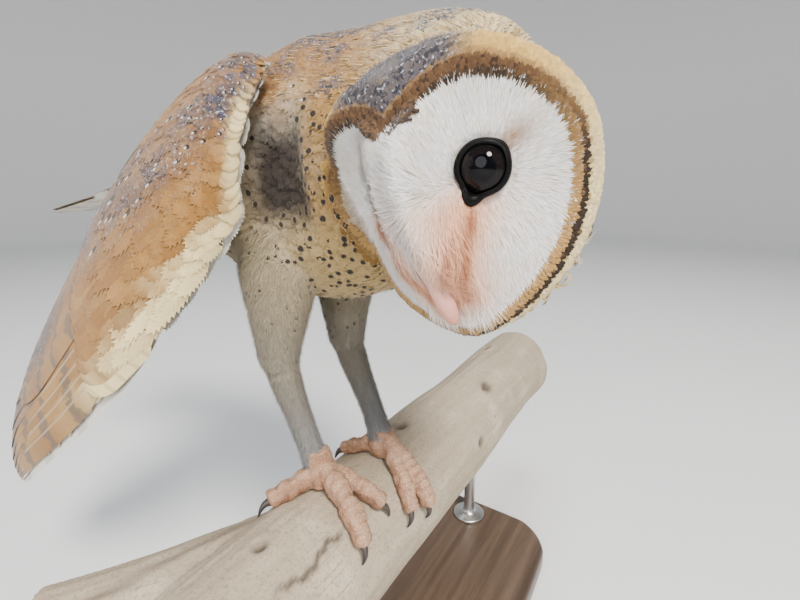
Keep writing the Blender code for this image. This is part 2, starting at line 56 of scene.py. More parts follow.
MM = 0.001
FULL_TURN = 2 * math.pi
TABLE_ROWS = 181
PERCH_TOP = 150.0
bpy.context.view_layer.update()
FLESH = (
    "head neck trunk tail wing_left wing_right thigh_left thigh_right "
    "shank_left shank_right foot_left foot_right"
).split()
TOES_NAMED = ("hallux", "inner", "middle", "outer")


# ---- small tools


def unit(rows):
    """Each row divided by its own length."""
    rows = np.asarray(rows, float)
    return rows / np.maximum(np.linalg.norm(rows, axis=-1, keepdims=True), 1e-9)


def ease(value, low, high):
    """Smooth step: 3t2 - 2t3 of the share of the way from low to high."""
    share = np.clip((np.asarray(value, float) - low) / (high - low), 0, 1)
    return share * share * (3 - 2 * share)


def bell(value, middle, width):
    """A bump of height one: e to minus the squared distance from the middle, in widths."""
    return np.exp(-(((np.asarray(value, float) - middle) / width) ** 2))


def blend(first, second, share):
    """Straight mix of two colours or rows by a share from 0 to 1."""
    share = np.asarray(share, float)[..., None]
    return np.asarray(first, float) * (1 - share) + np.asarray(second, float) * share


def folded(angle):
    """Angle from the top, counted the same way on both sides, from 0 to half a turn."""
    return np.abs((angle + math.pi) % FULL_TURN - math.pi)


def table_of(stations):
    """Catmull-Rom line through rows of numbers, returned as many even rows along it."""
    rows = np.array(stations, float)
    padded = np.vstack([2 * rows[0] - rows[1], rows, 2 * rows[-1] - rows[-2]])
    where = np.linspace(0, len(rows) - 1, TABLE_ROWS)
    start = np.minimum(where.astype(int), len(rows) - 2)
    t = (where - start)[:, None]
    a, b, c, d = (padded[start + k] for k in range(4))
    return 0.5 * (
        2 * b + (c - a) * t + (2 * a - 5 * b + 4 * c - d) * t**2 + (3 * b - a - 3 * c + d) * t**3
    )


def look_up(table, share):
    """Rows of a table at shares from 0 to 1 of its length, straight between its rows."""
    share = np.clip(np.asarray(share, float), 0, 1) * (len(table) - 1)
    start = np.minimum(share.astype(int), len(table) - 2)
    rest = (share - start)[..., None]
    return table[start] * (1 - rest) + table[start + 1] * rest


def ripple(points, size, seed):
    """Soft random field from -1 to 1: a mean of sines along eight seeded directions."""
    chance = np.random.default_rng(seed)
    total = np.zeros(points.shape[:-1])
    for _ in range(8):
        direction = unit(chance.normal(size=3)) * chance.uniform(0.6, 1.5) / size
        total = total + np.sin(points @ direction * FULL_TURN + chance.uniform(0, 6.28))
    return total / 3.2


# ---- shapes of the animal

# Stations of body, tail and legs: middle of the section, half width, upper and lower reach.
BODY = table_of((
    (0, 152, 141, 11, 8, 8),
    (0, 140, 143, 19, 15, 14),
    (0, 112, 147, 29, 28, 27),
    (0, 75, 147, 38, 43, 43),
    (0, 40, 145, 42, 54, 54),
    (0, 8, 144, 43, 61, 58),
    (1, -20, 147, 41, 58, 53),
    (-1, -42, 150, 37, 55, 42),
    (-6, -60, 150.5, 35, 51, 34),
    (-14, -74, 149, 31, 44, 29),
))
TAIL = table_of((
    (0, 140, 144, 17, 8, 8),
    (0, 156, 141, 20, 7, 7),
    (0, 185, 135.5, 24, 4.4, 4.4),
    (0, 215, 129.5, 27.5, 3, 3),
    (0, 236, 125.5, 29, 2, 2),
    (0, 245, 123.8, 26, 1.2, 1.2),
))
LEGS = {
    "thigh_left": (
        (22, 18, 122, 15, 22),
        (20.5, 18, 104, 16, 21),
        (19, 17.5, 86, 13.8, 16),
        (17, 16, 70, 11, 12),
        (16, 15, 58, 9.2, 10),
    ),
    "thigh_right": (
        (-23, 20, 122, 15, 22),
        (-25, 20, 104, 16, 21),
        (-26, 20.5, 86, 13.8, 16),
        (-26.5, 21.5, 70, 11, 12),
        (-26.5, 22, 58, 9.2, 10),
    ),
    "shank_left": (
        (16.2, 15.2, 61, 8.6, 9),
        (15.2, 9.5, 48, 7.6, 8.4),
        (14.2, 2, 34, 6.6, 7.2),
        (13.2, -5, 20, 6.4, 6.8),
        (12.5, -10, 8, 7.2, 7.6),
    ),
    "shank_right": (
        (-26.5, 21.8, 61, 8.6, 9),
        (-26.2, 18, 48, 7.6, 8.4),
        (-25.6, 12.5, 34, 6.6, 7.2),
        (-25, 7, 20, 6.4, 6.8),
        (-24.6, 2.5, 9, 7.2, 7.6),
    ),
}
# Stations of a wing: its top edge, its lower edge and its thickness.
WINGS = {
    "left": table_of((
        (30, -8, 187, 44, -14, 131, 6),
        (34, 6, 194, 51, 0, 118, 12),
        (35, 40, 193, 55, 30, 111, 13),
        (33, 85, 184, 52, 72, 111, 11),
        (29, 130, 172, 44, 122, 117, 8),
        (24, 175, 160, 34, 170, 124, 6),
        (20, 215, 149, 25, 214, 131, 4),
        (19, 240, 141, 20, 240, 138, 2),
    )),
    "right": table_of((
        (-36, 3, 186, -52, 8, 130, 6),
        (-40, 18, 188, -60, 20, 109, 12),
        (-43, 48, 175, -69, 42, 82, 13),
        (-46, 84, 150, -78, 74, 50, 11),
        (-51, 118, 116, -85, 108, 18, 8),
        (-58, 150, 76, -89, 142, -8, 6),
        (-67, 178, 30, -88, 173, -28, 4),
        (-78, 194, -14, -83, 194, -36, 2),
    )),
}
OUTWARD = {"left": 1.0, "right": -1.0}
WING_BULGE = 12.0
FEATHER_INSET = 1.6
# Where each row of lesser coverts starts, in shares of the wing's length.
COVERT_ROWS = (0.0, 0.022, 0.044, 0.067, 0.092, 0.118, 0.146, 0.176, 0.208, 0.242, 0.278)
HEAD_PLACE = np.array((-30.0, -68.0, 135.0))
HEAD_FORWARD = (-0.968, -0.040, -0.247)
HEAD_UP = (-0.249, 0.255, 0.934)
# Angle from the top of the face, then reach and depth of the rim and of the ruff's crest.
DISC = table_of((
    (0, 27.6, -23.5, 49, -1),
    (35, 41.5, -10, 51, 0),
    (70, 45, -1.2, 50.5, 7),
    (100, 40.5, -0.2, 46.5, 8),
    (140, 38.6, -9.2, 44.5, -1),
    (180, 41, -16.6, 46, -9),
))
FACE_MIDDLE_Y = -23.0
FACE_DISH = 1.4
LOBE_HEIGHT = 16.5
LOBE_WIDTH = 11.0
FAR_LOBE_WIDTH = 12.4
CREASE_SHARE = 0.34
CREASE_WIDTH = 2.6
FAR_CREASE_WIDTH = 8.5
FAR_EDGE_BACK = 9.0
FAR_CORNER_OUT = 3.5
NAPE_Y = 36.0
NAPE_Z = 6.0
EYE_PLACE = np.array((17.6, -9.0, 8.8))
FAR_EYE_SHIFT = np.array((2.5, 3.5, 0.0))
EYE_RADIUS = 8.6
EYE_AIM = (0.36, -0.93, 0.07)
PUPIL_EDGE = 0.41
IRIS_EDGE = 0.66
LID_INNER = 6.6
LID_OUTER = 7.5
SOCKET_DEPTH = 1.4
SOCKET_RADIUS = 9.0
LOG_RADIUS = 33.0
LOG_AXIS_Y = -6.4
LOG_MIDDLE = np.array((0.0, LOG_AXIS_Y, -LOG_RADIUS))
TOE_RADIUS = 4.6
# Each palm's place along the log, its turn from the top and the height where the shank starts.
FEET = {"left": (12.5, 0.10, 9.0), "right": (-24.6, -0.16, 12.5)}
# Each toe's end along the log, its turn from the top and its thickness beside the others.
TOES = {
    "left": {
        "hallux": (5.0, -0.52, 0.86),
        "inner": (-4.0, 1.06, 0.95),
        "middle": (9.5, 1.20, 1.08),
        "outer": (32.0, -0.22, 0.98),
    },
    "right": {
        "hallux": (-14.5, -0.80, 0.86),
        "inner": (-16.5, 0.72, 0.98),
        "middle": (-38.5, 0.90, 1.08),
        "outer": (-46.5, -0.58, 1.02),
    },
}


def tube(table, u, v, inset=0.0):
    """Egg-shaped tube: at share v of a middle line, turned by u of a full turn from the left side.

    The ring is square to the line; its side, upper and lower reaches come from the table.
    """
    path = table[:, :3]
    along = unit(np.gradient(path, axis=0))
    side = unit(np.array([1.0, 0, 0]) - along * along[:, :1])
    rise = unit(np.cross(along, side))
    rise = rise * (-1.0 if rise[:, 2].mean() < -0.01 else 1.0)
    full = np.hstack([table, table[:, 4:5]])[:, :6]
    rows = look_up(np.hstack([full, side, rise]), v)
    turn = FULL_TURN * np.asarray(u, float)
    reach = np.where(np.sin(turn) > 0, rows[..., 4], rows[..., 5]) - inset
    across = np.maximum(rows[..., 3] - inset, 0.5) * np.cos(turn)
    return (
        rows[..., :3]
        + rows[..., 6:9] * across[..., None]
        + rows[..., 9:12] * (np.maximum(reach, 0.5) * np.sin(turn))[..., None]
    )


def wing(word, u, v, inset=0.0):
    """Bowed lens section: u turns from the top edge over the outer face and back within.

    The lower edge is at 0.5; the bow is four times the share of the chord times what is left of it.
    """
    table = WINGS[word]
    top, low = table[:, :3], table[:, 3:6]
    chord = unit(low - top)
    along = unit(np.gradient((top + low) / 2, axis=0))
    face = unit(np.cross(chord, along)) * OUTWARD[word]
    bow = np.minimum(np.linalg.norm(low - top, axis=1) / 80.0, 1.0) * WING_BULGE
    rows = look_up(np.hstack([top, low, table[:, 6:7], face, bow[:, None]]), v)
    turn = FULL_TURN * np.asarray(u, float)
    share = (1 - np.cos(turn)) / 2
    span = np.linalg.norm(rows[..., 3:6] - rows[..., :3], axis=-1)
    kept = np.clip(1 - 2 * inset / np.maximum(span, 1.0), 0.1, 1)
    share = 0.5 + (share - 0.5) * kept
    half = np.maximum(rows[..., 6] / 2 - inset, 0.45)
    lens = half * np.sign(np.sin(turn)) * np.abs(np.sin(turn)) ** 0.8
    lift = rows[..., 10] * 4 * share * (1 - share) + lens
    point = rows[..., :3] + (rows[..., 3:6] - rows[..., :3]) * share[..., None]
    return point + rows[..., 7:10] * lift[..., None]


def head_matrix():
    """Columns that turn head measures, x left, y back and z up, into the owl's own."""
    forward = Vector(HEAD_FORWARD).normalized()
    rise = Vector(HEAD_UP)
    rise = (rise - forward * rise.dot(forward)).normalized()
    back = -forward
    return np.array(Matrix((back.cross(rise), back, rise)).transposed())


HEAD_TURN = head_matrix()


def on_head(points):
    """Head measures to the owl's own."""
    return np.asarray(points, float) @ HEAD_TURN.T + HEAD_PLACE


def in_head(points):
    """The owl's own measures to head measures."""
    return (np.asarray(points, float) - HEAD_PLACE) @ HEAD_TURN


def disc_line(angles):
    """Reach and depth of the disc's rim and of the ruff's crest at angles from the top."""
    angles = np.degrees(folded(angles))
    return [np.interp(angles, DISC[:, 0], DISC[:, k]) for k in range(1, 5)]


def head(u, v):
    """Head surface: u is the turn round the face, v runs face, ruff and back in thirds.

    The face is a dished cone to the rim, the ruff a quarter turn out to its crest, the back a
    quarter turn in to the nape; two lobes with a crease stand up the middle of the face.
    """
    angles = FULL_TURN * np.asarray(u, float)
    reach = 3 * np.asarray(v, float)
    rim, rim_y, crest, crest_y = disc_line(angles)
    inner = np.clip(reach, 0, 1)
    ruff = np.clip(reach - 1, 0, 1) * math.pi / 2
    back = np.clip(reach - 2, 0, 1) * math.pi / 2
    radius = (rim * inner + (crest - rim) * np.sin(ruff)) * np.cos(back) ** 1.15
    depth = FACE_MIDDLE_Y + (rim_y - FACE_MIDDLE_Y) * inner**FACE_DISH
    depth = depth + (crest_y - rim_y) * (1 - np.cos(ruff)) + (NAPE_Y - crest_y) * np.sin(back)
    x = radius * np.sin(angles)
    z = radius * np.cos(angles) + NAPE_Z * np.sin(back)
    fall = 1 / (1 + np.exp(-(z + 17.0) / 4.5))
    wide = np.where(x < 0, FAR_LOBE_WIDTH, LOBE_WIDTH)
    lobe = np.exp(-((x / wide) ** 4)) * fall * (1 - inner**5)
    crease = np.where(x < -0.6, FAR_CREASE_WIDTH, CREASE_WIDTH)
    lobe = lobe * (1 - CREASE_SHARE * np.exp(-(((x + 0.6) / crease) ** 2)))
    near = bell(np.hypot(np.abs(x) - EYE_PLACE[0] - 3.6, z - EYE_PLACE[2]), 0, SOCKET_RADIUS)
    depth = depth - LOBE_HEIGHT * lobe + SOCKET_DEPTH * near * (reach < 1)
    far_edge = np.clip((-x - 22) / 22, 0, 1) ** 2 * bell(z, 0, 22)
    corner = np.clip((-x - 8) / 16, 0, 1) * bell(z, 36, 9)
    depth = depth + FAR_EDGE_BACK * far_edge - FAR_CORNER_OUT * corner
    return np.stack([x - FAR_CORNER_OUT / 2 * corner, depth, z], axis=-1)


def eye_frame(side):
    """Centre of an eye and its three directions, out of the eye, sideways and up, in the owl's measures."""
    aim = unit(np.array(EYE_AIM) * [side, 1, 1])
    rise = unit(np.cross(np.cross(aim, [0, 0, 1.0]), aim))
    turned = np.stack([aim, np.cross(aim, rise), rise]) @ HEAD_TURN.T
    return on_head(EYE_PLACE * [side, 1, 1] + FAR_EYE_SHIFT * (side < 0)), turned


def round_eye(points, side):
    """Distances of points out along an eye's aim and away from it."""
    centre, turned = eye_frame(side)
    local = (np.asarray(points, float) - centre) @ turned.T
    return local[..., 0], np.hypot(local[..., 1], local[..., 2])


def on_log(x, turn, lift):
    """A place above the log's round, turned forwards from its top."""
    reach = LOG_RADIUS + np.asarray(lift, float)
    x, turn, reach = np.broadcast_arrays(x, turn, reach)
    return np.stack([x, LOG_AXIS_Y - reach * np.sin(turn), -LOG_RADIUS + reach * np.cos(turn)], -1)


def toe_path(side, toe, t):
    """Middle of a toe at shares t from palm to end, and the toe's radius there.

    The middle lies about a radius above the log and rises in a bell at the palm. The radius
    narrows evenly and swells three times, in a cosine, for the pads.
    """
    x0, turn0, _ = FEET[side]
    x1, turn1, width = TOES[side][toe]
    lift = TOE_RADIUS * width * (0.95 - 0.05 * t) + 3.6 * np.exp(-((t / 0.30) ** 2))
    pads = 1 + 0.08 * np.cos(t * 6 * math.pi)
    radius = TOE_RADIUS * width * pads * (1.10 - 0.16 * t)
    return on_log(x0 + (x1 - x0) * t, turn0 + (turn1 - turn0) * t, lift), radius


# ---- mesh and finish


def grid(nu, nv, low=0.0, high=1.0):
    """Two parameters over a closed turn and a run from low to high."""
    u, v = np.meshgrid(np.arange(nu) / nu, np.linspace(low, high, nv))
    return u, v


def shell_faces(nu, nv):
    """Quads of a grid that closes on itself sideways, and its two ends as single faces."""
    i, j = np.meshgrid(np.arange(nv - 1), np.arange(nu), indexing="ij")
    k = (j + 1) % nu
    quads = np.stack([i * nu + j, i * nu + k, (i + 1) * nu + k, (i + 1) * nu + j], -1).reshape(-1, 4)
    ends = [list(range(nu))[::-1], list(range((nv - 1) * nu, nv * nu))]
    return quads.tolist() + ends


def sheet_faces(nu, nv):
    """Quads of a grid with open sides."""
    i, j = np.meshgrid(np.arange(nv - 1), np.arange(nu - 1), indexing="ij")
    return np.stack([i * nu + j, i * nu + j + 1, (i + 1) * nu + j + 1, (i + 1) * nu + j], -1).reshape(-1, 4)


def in_frame(points):
    """Millimetres above the perch to metres in the frame."""
    return (np.asarray(points, float).reshape(-1, 3) + [0, 0, PERCH_TOP]) * MM


def add_object(name, data):
    """Object of a mesh, lamp or camera, linked to the scene."""
    thing = bpy.data.objects.new(name, data)
    bpy.context.scene.collection.objects.link(thing)
    return thing


def raise_mesh(name, points, faces):
    """Smooth-shaded object from points in millimetres above the perch."""
    mesh = bpy.data.meshes.new(name)
    mesh.from_pydata(in_frame(points).tolist(), [], faces)
    mesh.polygons.foreach_set("use_smooth", [True] * len(mesh.polygons))
    return add_object(name, mesh)


def raise_shells(name, shells):
    """One mesh from several grids of points, each with its own faces."""
    points, faces, start = [], [], 0
    for place, quads in shells:
        points.append(place.reshape(-1, 3))
        faces += [[k + start for k in face] for face in quads]
        start += len(points[-1])
    return raise_mesh(name, np.concatenate(points), faces)


def set_points(thing, points):
    """Moves a mesh's points, given in millimetres above the perch."""
    thing.data.vertices.foreach_set("co", in_frame(points).astype(np.float32).ravel())
    thing.data.update()


def face_outwards(thing):
    """Turns every face of a closed mesh to point outwards."""
    work = bmesh.new()
    work.from_mesh(thing.data)
    bmesh.ops.recalc_face_normals(work, faces=work.faces)
    work.to_mesh(thing.data)
    work.free()
    return thing


def settle(thing):
    """Applies every modifier of an object to its mesh."""
    view = bpy.context.evaluated_depsgraph_get()
    made = bpy.data.meshes.new_from_object(thing.evaluated_get(view))
    thing.modifiers.clear()
    thing.data = made
    made.polygons.foreach_set("use_smooth", [True] * len(made.polygons))
    return thing


def one_solid(thing, voxel, rounds):
    """Remeshes shells that overlap into one closed surface, then smooths it for some rounds."""
    face_outwards(thing)
    remesh = thing.modifiers.new("one solid", "REMESH")
    remesh.mode = "VOXEL"
    remesh.voxel_size = voxel * MM
    soft = thing.modifiers.new("ease", "SMOOTH")
    soft.factor = 0.5
    soft.iterations = rounds
    return settle(thing)


def own(thing, material, slot, *nodes):
    """Gives a piece its material and the body it rides on, and hides the nodes that it stands for; the slot
    is not used.
    """
    thing.data.materials.clear()
    thing.data.materials.append(material)
    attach(thing, "root")
    if nodes:
        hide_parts(*nodes)
    return thing


def paint(mesh, name, rows):
    """Stores a colour for each point of a mesh."""
    rows = np.asarray(rows, np.float32)
    layer = mesh.attributes.new(name, "FLOAT_COLOR", "POINT")
    full = np.ones((len(rows), 4), np.float32)
    full[:, :3] = rows
    layer.data.foreach_set("color", full.ravel())


def mesh_rows(mesh):
    """Points in millimetres above the perch, normals, and triangles of a mesh."""
    count = len(mesh.vertices)
    points = np.empty(count * 3, np.float32)
    mesh.vertices.foreach_get("co", points)
    normals = np.empty(count * 3, np.float32)
    mesh.vertex_normals.foreach_get("vector", normals)
    mesh.calc_loop_triangles()
    triangles = np.empty(len(mesh.loop_triangles) * 3, np.int32)
    mesh.loop_triangles.foreach_get("vertices", triangles)
    points = points.reshape(-1, 3).astype(float) / MM - [0, 0, PERCH_TOP]
    return points, normals.reshape(-1, 3).astype(float), triangles.reshape(-1, 3)


FARTHEST_PULL = 4.0


class Surface:
    """A cloud of points with normals that answers, for many places at once, which is nearest.

    A block of cells remembers one point each and empty cells copy a neighbour's; a place then
    tries the points of its own cell and of the cells around it.
    """

    def __init__(self, points, normals=None, triangles=None, cell=1.6):
        self.points = points
        self.normals = normals
        self.triangles = triangles
        self.cell = cell
        self.low = points.min(axis=0) - 6 * cell
        shape = np.ceil((points.max(axis=0) - self.low) / cell).astype(int) + 6
        self.block = np.full(shape, -1, np.int32)
        where = ((points - self.low) / cell).astype(int)
        self.block[tuple(where.T)] = np.arange(len(points))
        for _ in range(4):
            for axis, step in itertools.product(range(3), (1, -1)):
                moved = np.roll(self.block, step, axis=axis)
                self.block = np.where(self.block < 0, moved, self.block)

    def nearest(self, places):
        """Index of the nearest point of each place."""
        flat = places.reshape(-1, 3)
        where = ((flat - self.low) / self.cell).astype(int)
        found = np.zeros(len(flat), int)
        gap = np.full(len(flat), 1e12)
        top = np.array(self.block.shape) - 1
        for offset in itertools.product((-1, 0, 1), repeat=3):
            tried = self.block[tuple(np.clip(where + offset, 0, top).T)]
            far = ((self.points[tried] - flat) ** 2).sum(axis=1) + (tried < 0) * 1e9
            better = far < gap
            found[better] = tried[better]
            gap[better] = far[better]
        return found.reshape(places.shape[:-1])

    def trail(self, roots, heading, length, rows):
        """Steps of equal length from each root, each pulled onto the surface and kept flat to it."""
        place = np.array(roots, float)
        ahead = np.array(heading, float)
        path, normals, nearest = [], [], []
        for row in range(rows):
            if row:
                place = place + ahead * (length / (rows - 1))[:, None]
            k = self.nearest(place)
            normal = self.normals[k]
            off = ((place - self.points[k]) * normal).sum(axis=1, keepdims=True)
            place = place - normal * np.clip(off, -FARTHEST_PULL, FARTHEST_PULL)
            ahead = unit(ahead - normal * (ahead * normal).sum(axis=1, keepdims=True))
            path.append(place)
            normals.append(normal)
            nearest.append(k)
        return np.stack(path, 1), np.stack(normals, 1), np.stack(nearest, 1)


# ---- feather patterns

PATCH_SIZE = 0.003


def hair_plan():
    """A strand: a narrow strip of three quads that ends in a point."""
    t = [0, 0, 0.35, 0.35, 0.7, 0.7, 1.0]
    s = [-1, 1, -0.9, 0.9, -0.55, 0.55, 0]
    faces = [(0, 1, 3), (0, 3, 2), (2, 3, 5), (2, 5, 4), (4, 5, 6)]
    return np.array(t, float), np.array(s, float), np.array(faces)


def barb_plan(pairs, slant, split):
    """A small feather: quads beside the shaft, then a free pointed barb on each.

    Points run along the shaft, then along each side's inner edge, then the barb ends, which
    lean forwards by the slant.
    """
    t_shaft = np.linspace(0, 0.9, pairs + 1)
    shape = np.sin(math.pi * np.clip(t_shaft * 0.86 + 0.1, 0, 1)) ** 0.7
    middle = (t_shaft[1:] + t_shaft[:-1]) / 2
    reach = np.sin(math.pi * np.clip(middle * 0.86 + 0.1, 0, 1)) ** 0.7
    t, s, faces = list(t_shaft), [0.0] * (pairs + 1), []
    for sign in (-1, 1):
        inner = len(t)
        t += list(np.minimum(t_shaft + slant * 0.6, 0.96))
        s += list(sign * shape * split)
        tips = len(t)
        t += list(np.minimum(middle + slant, 1.02))
        s += list(sign * reach)
        for k in range(pairs):
            quad = [(k, k + 1, inner + k + 1), (k, inner + k + 1, inner + k)]
            barb = [(inner + k, inner + k + 1, tips + k)]
            faces += [f if sign < 0 else f[::-1] for f in quad + barb]
    end = len(t)
    t.append(1.04)
    s.append(0.0)
    faces += [(pairs, end, 2 * pairs + 1), (pairs, 4 * pairs + 2, end)]
    return np.array(t), np.array(s), np.array(faces)


def vane_plan(rows, columns, blunt):
    """A broad feather: a grid from quill to rounded tip, its half width a power of a sine."""
    t_rows = np.concatenate([np.linspace(0, 0.86, rows - 3), [0.93, 0.975, 1.0]])
    t_grid, s_grid = np.meshgrid(t_rows, np.linspace(-1, 1, columns), indexing="ij")
    narrow = np.clip(t_grid / 0.16, 0, 1) ** 0.6
    round_off = np.sqrt(np.clip(1 - (np.clip(t_grid - (1 - blunt), 0, 1) / blunt) ** 2.4, 0.0, 1))
    s = s_grid * (0.25 + 0.75 * narrow) * round_off
    quads = sheet_faces(columns, rows)
    faces = np.concatenate([quads[:, [0, 1, 2]], quads[:, [0, 2, 3]]])
    return t_grid.ravel(), s.ravel(), faces


def lay_feathers(name, path, normals, width, rise, plan, colour, marks, roots_uv, camber, seed):
    """Joins many copies of one feather plan into a mesh, each along its own path.

    Each point sits at its share of the path, moved sideways by its share of the width and out
    along the normal by the feather's rise there, less the camber times the square of the share.
    """
    t, s, faces = plan
    count, rows = path.shape[:2]
    at = np.clip(t, 0, 1) * (rows - 1)
    low = np.minimum(at.astype(int), rows - 2)
    rest = (at - low)[None, :, None]

    def between(rows_of):
        return rows_of[:, low] * (1 - rest) + rows_of[:, low + 1] * rest

    along = np.gradient(path, axis=1)
    beyond = np.maximum(t - 1, 0)[None, :, None] * between(along) * (rows - 1)
    up = unit(between(normals))
    side = unit(np.cross(up, between(unit(along))))
    rise_at = between(rise[..., None])
    drop = camber * width[:, None, None] * (s**2)[None, :, None]
    points = between(path) + beyond + side * (width[:, None] * s)[..., None] + up * (rise_at - drop)
    total = count * len(t)
    mesh = bpy.data.meshes.new(name)
    mesh.vertices.add(total)
    mesh.vertices.foreach_set("co", in_frame(points).astype(np.float32).ravel())
    corners = (faces[None] + (np.arange(count) * len(t))[:, None, None]).astype(np.int32)
    mesh.loops.add(corners.size)
    mesh.loops.foreach_set("vertex_index", corners.ravel())
    mesh.polygons.add(corners.size // 3)
    mesh.polygons.foreach_set("loop_start", np.arange(0, corners.size, 3, dtype=np.int32))
    mesh.update(calc_edges=True)
    mesh.polygons.foreach_set("use_smooth", [True] * len(mesh.polygons))
    paint(mesh, "coat", between(colour).reshape(-1, 3))
    paint(mesh, "marks", between(marks).reshape(-1, 3))
    chance = np.random.default_rng(seed).uniform(0, 1, count)
    vane = np.stack(np.broadcast_arrays(t[None, :], s[None, :], chance[:, None]), -1)
    paint(mesh, "vane", np.broadcast_to(vane, (count, len(t), 3)).reshape(-1, 3))
    patch = np.stack([s * 0.5, t - 0.5], -1) * PATCH_SIZE
    places = np.clip(roots_uv, PATCH_SIZE, 1 - PATCH_SIZE)[:, None, :] + patch[None]
    layer = mesh.uv_layers.new(name="OFBake")
    layer.data.foreach_set("uv", places.reshape(-1, 2)[corners.ravel()].astype(np.float32).ravel())
    return add_object(name, mesh)


# ---- materials


class Value:
    """A number that varies over a surface; + - * / and comparisons on it add Math nodes."""

    def __init__(self, tree, socket):
        self.tree = tree
        self.socket = socket

    def math(self, operation, *others, clamp=False):
        """A Math node of this value and others."""
        node = self.tree.nodes.new("ShaderNodeMath")
        node.operation = operation
        node.use_clamp = clamp
        for entry, value in zip(node.inputs, (self, *others)):
            plug(self.tree, entry, value)
        return Value(self.tree, node.outputs[0])

    def __add__(self, other):
        return self.math("ADD", other)

    def __sub__(self, other):
        return self.math("SUBTRACT", other)

    def __rsub__(self, other):
        return self.math("MULTIPLY", -1.0).math("ADD", other)

    def __mul__(self, other):
        return self.math("MULTIPLY", other)

    def __truediv__(self, other):
        return self.math("DIVIDE", other)

    __radd__ = __add__
    __rmul__ = __mul__

    def step(self, low, high):
        """Smooth rise from 0 at low to 1 at high."""
        share = self.math("SUBTRACT", low).math("DIVIDE", high - low, clamp=True)
        return share * share * (3.0 - 2.0 * share)


def plug(tree, entry, value):
    """Links a value or sets a number on a socket."""
    if isinstance(value, Value):
        tree.links.new(value.socket, entry)
    elif entry.type == "RGBA":
        entry.default_value = (*value, 1.0)
    else:
        entry.default_value = value


class Recipe:
    def __init__(self, name):
        self.material = bpy.data.materials.new(name)
        self.material.use_nodes = True
        self.tree = self.material.node_tree
        self.shader = next(n for n in self.tree.nodes if n.type == "BSDF_PRINCIPLED")

    def node(self, kind, settings=None, sockets=None, output=0):
        """Any shader node by its kind, with its settings and inputs; returns one of its outputs."""
        made = self.tree.nodes.new("ShaderNode" + kind)
        for key, value in (settings or {}).items():
            setattr(made, key, value)
        for key, value in (sockets or {}).items():
            plug(self.tree, made.inputs[key], value)
        return Value(self.tree, made.outputs[output])

    def attribute(self, name, output="Color"):
        """What was painted on the points under a name."""
        return self.node("Attribute", {"attribute_name": name}, output=output)

    def parts(self, vector):
        """The three parts of a vector as values."""
        split = self.node("SeparateXYZ", sockets={"Vector": vector}).socket.node
        return [Value(self.tree, split.outputs[k]) for k in range(3)]

    def place(self, scale=(1, 1, 1), turn=(0, 0, 0)):
        """The object's own measures, turned and scaled."""
        where = self.node("TexCoord", output="Object")
        return self.node("Mapping", sockets={"Vector": where, "Scale": scale, "Rotation": turn})

    def noise(self, vector, scale, detail=2.0, rough=0.5):
        """Soft noise from 0 to 1."""
        sockets = {"Vector": vector, "Scale": scale, "Detail": detail, "Roughness": rough}
        return self.node("TexNoise", sockets=sockets)

    def mix(self, share, first, second, kind="MIX"):
        """Straight mix of two colours by a share, or their product."""
        made = self.tree.nodes.new("ShaderNodeMix")
        made.data_type = "RGBA"
        made.blend_type = kind
        plug(self.tree, made.inputs[0], share)
        plug(self.tree, made.inputs[6], first)
        plug(self.tree, made.inputs[7], second)
        return Value(self.tree, made.outputs[2])

    def darken(self, colour, shade):
        """The colour times a grey of the given value."""
        grey = self.node("CombineColor", sockets={"Red": shade, "Green": shade, "Blue": shade})
        return self.mix(1.0, colour, grey, "MULTIPLY")

    def drawn_out(self, vector, along, across, detail, rough):
        """Noise with its own scale along the first direction and across it."""
        stretched = self.node("Mapping", sockets={"Vector": vector, "Scale": (along, across, across)})
        return self.noise(stretched, 1.0, detail, rough)

    def bump(self, height, strength, distance):
        """Normal tilted by the slope of a height."""
        sockets = {"Height": height, "Strength": strength, "Distance": distance}
        return self.node("Bump", sockets=sockets)

    def finish(self, **sockets):
        """Feeds the shader's inputs, named with lines for spaces, and returns the material."""
        for key, value in sockets.items():
            plug(self.tree, self.shader.inputs[key.replace("_", " ")], value)
        return self.material


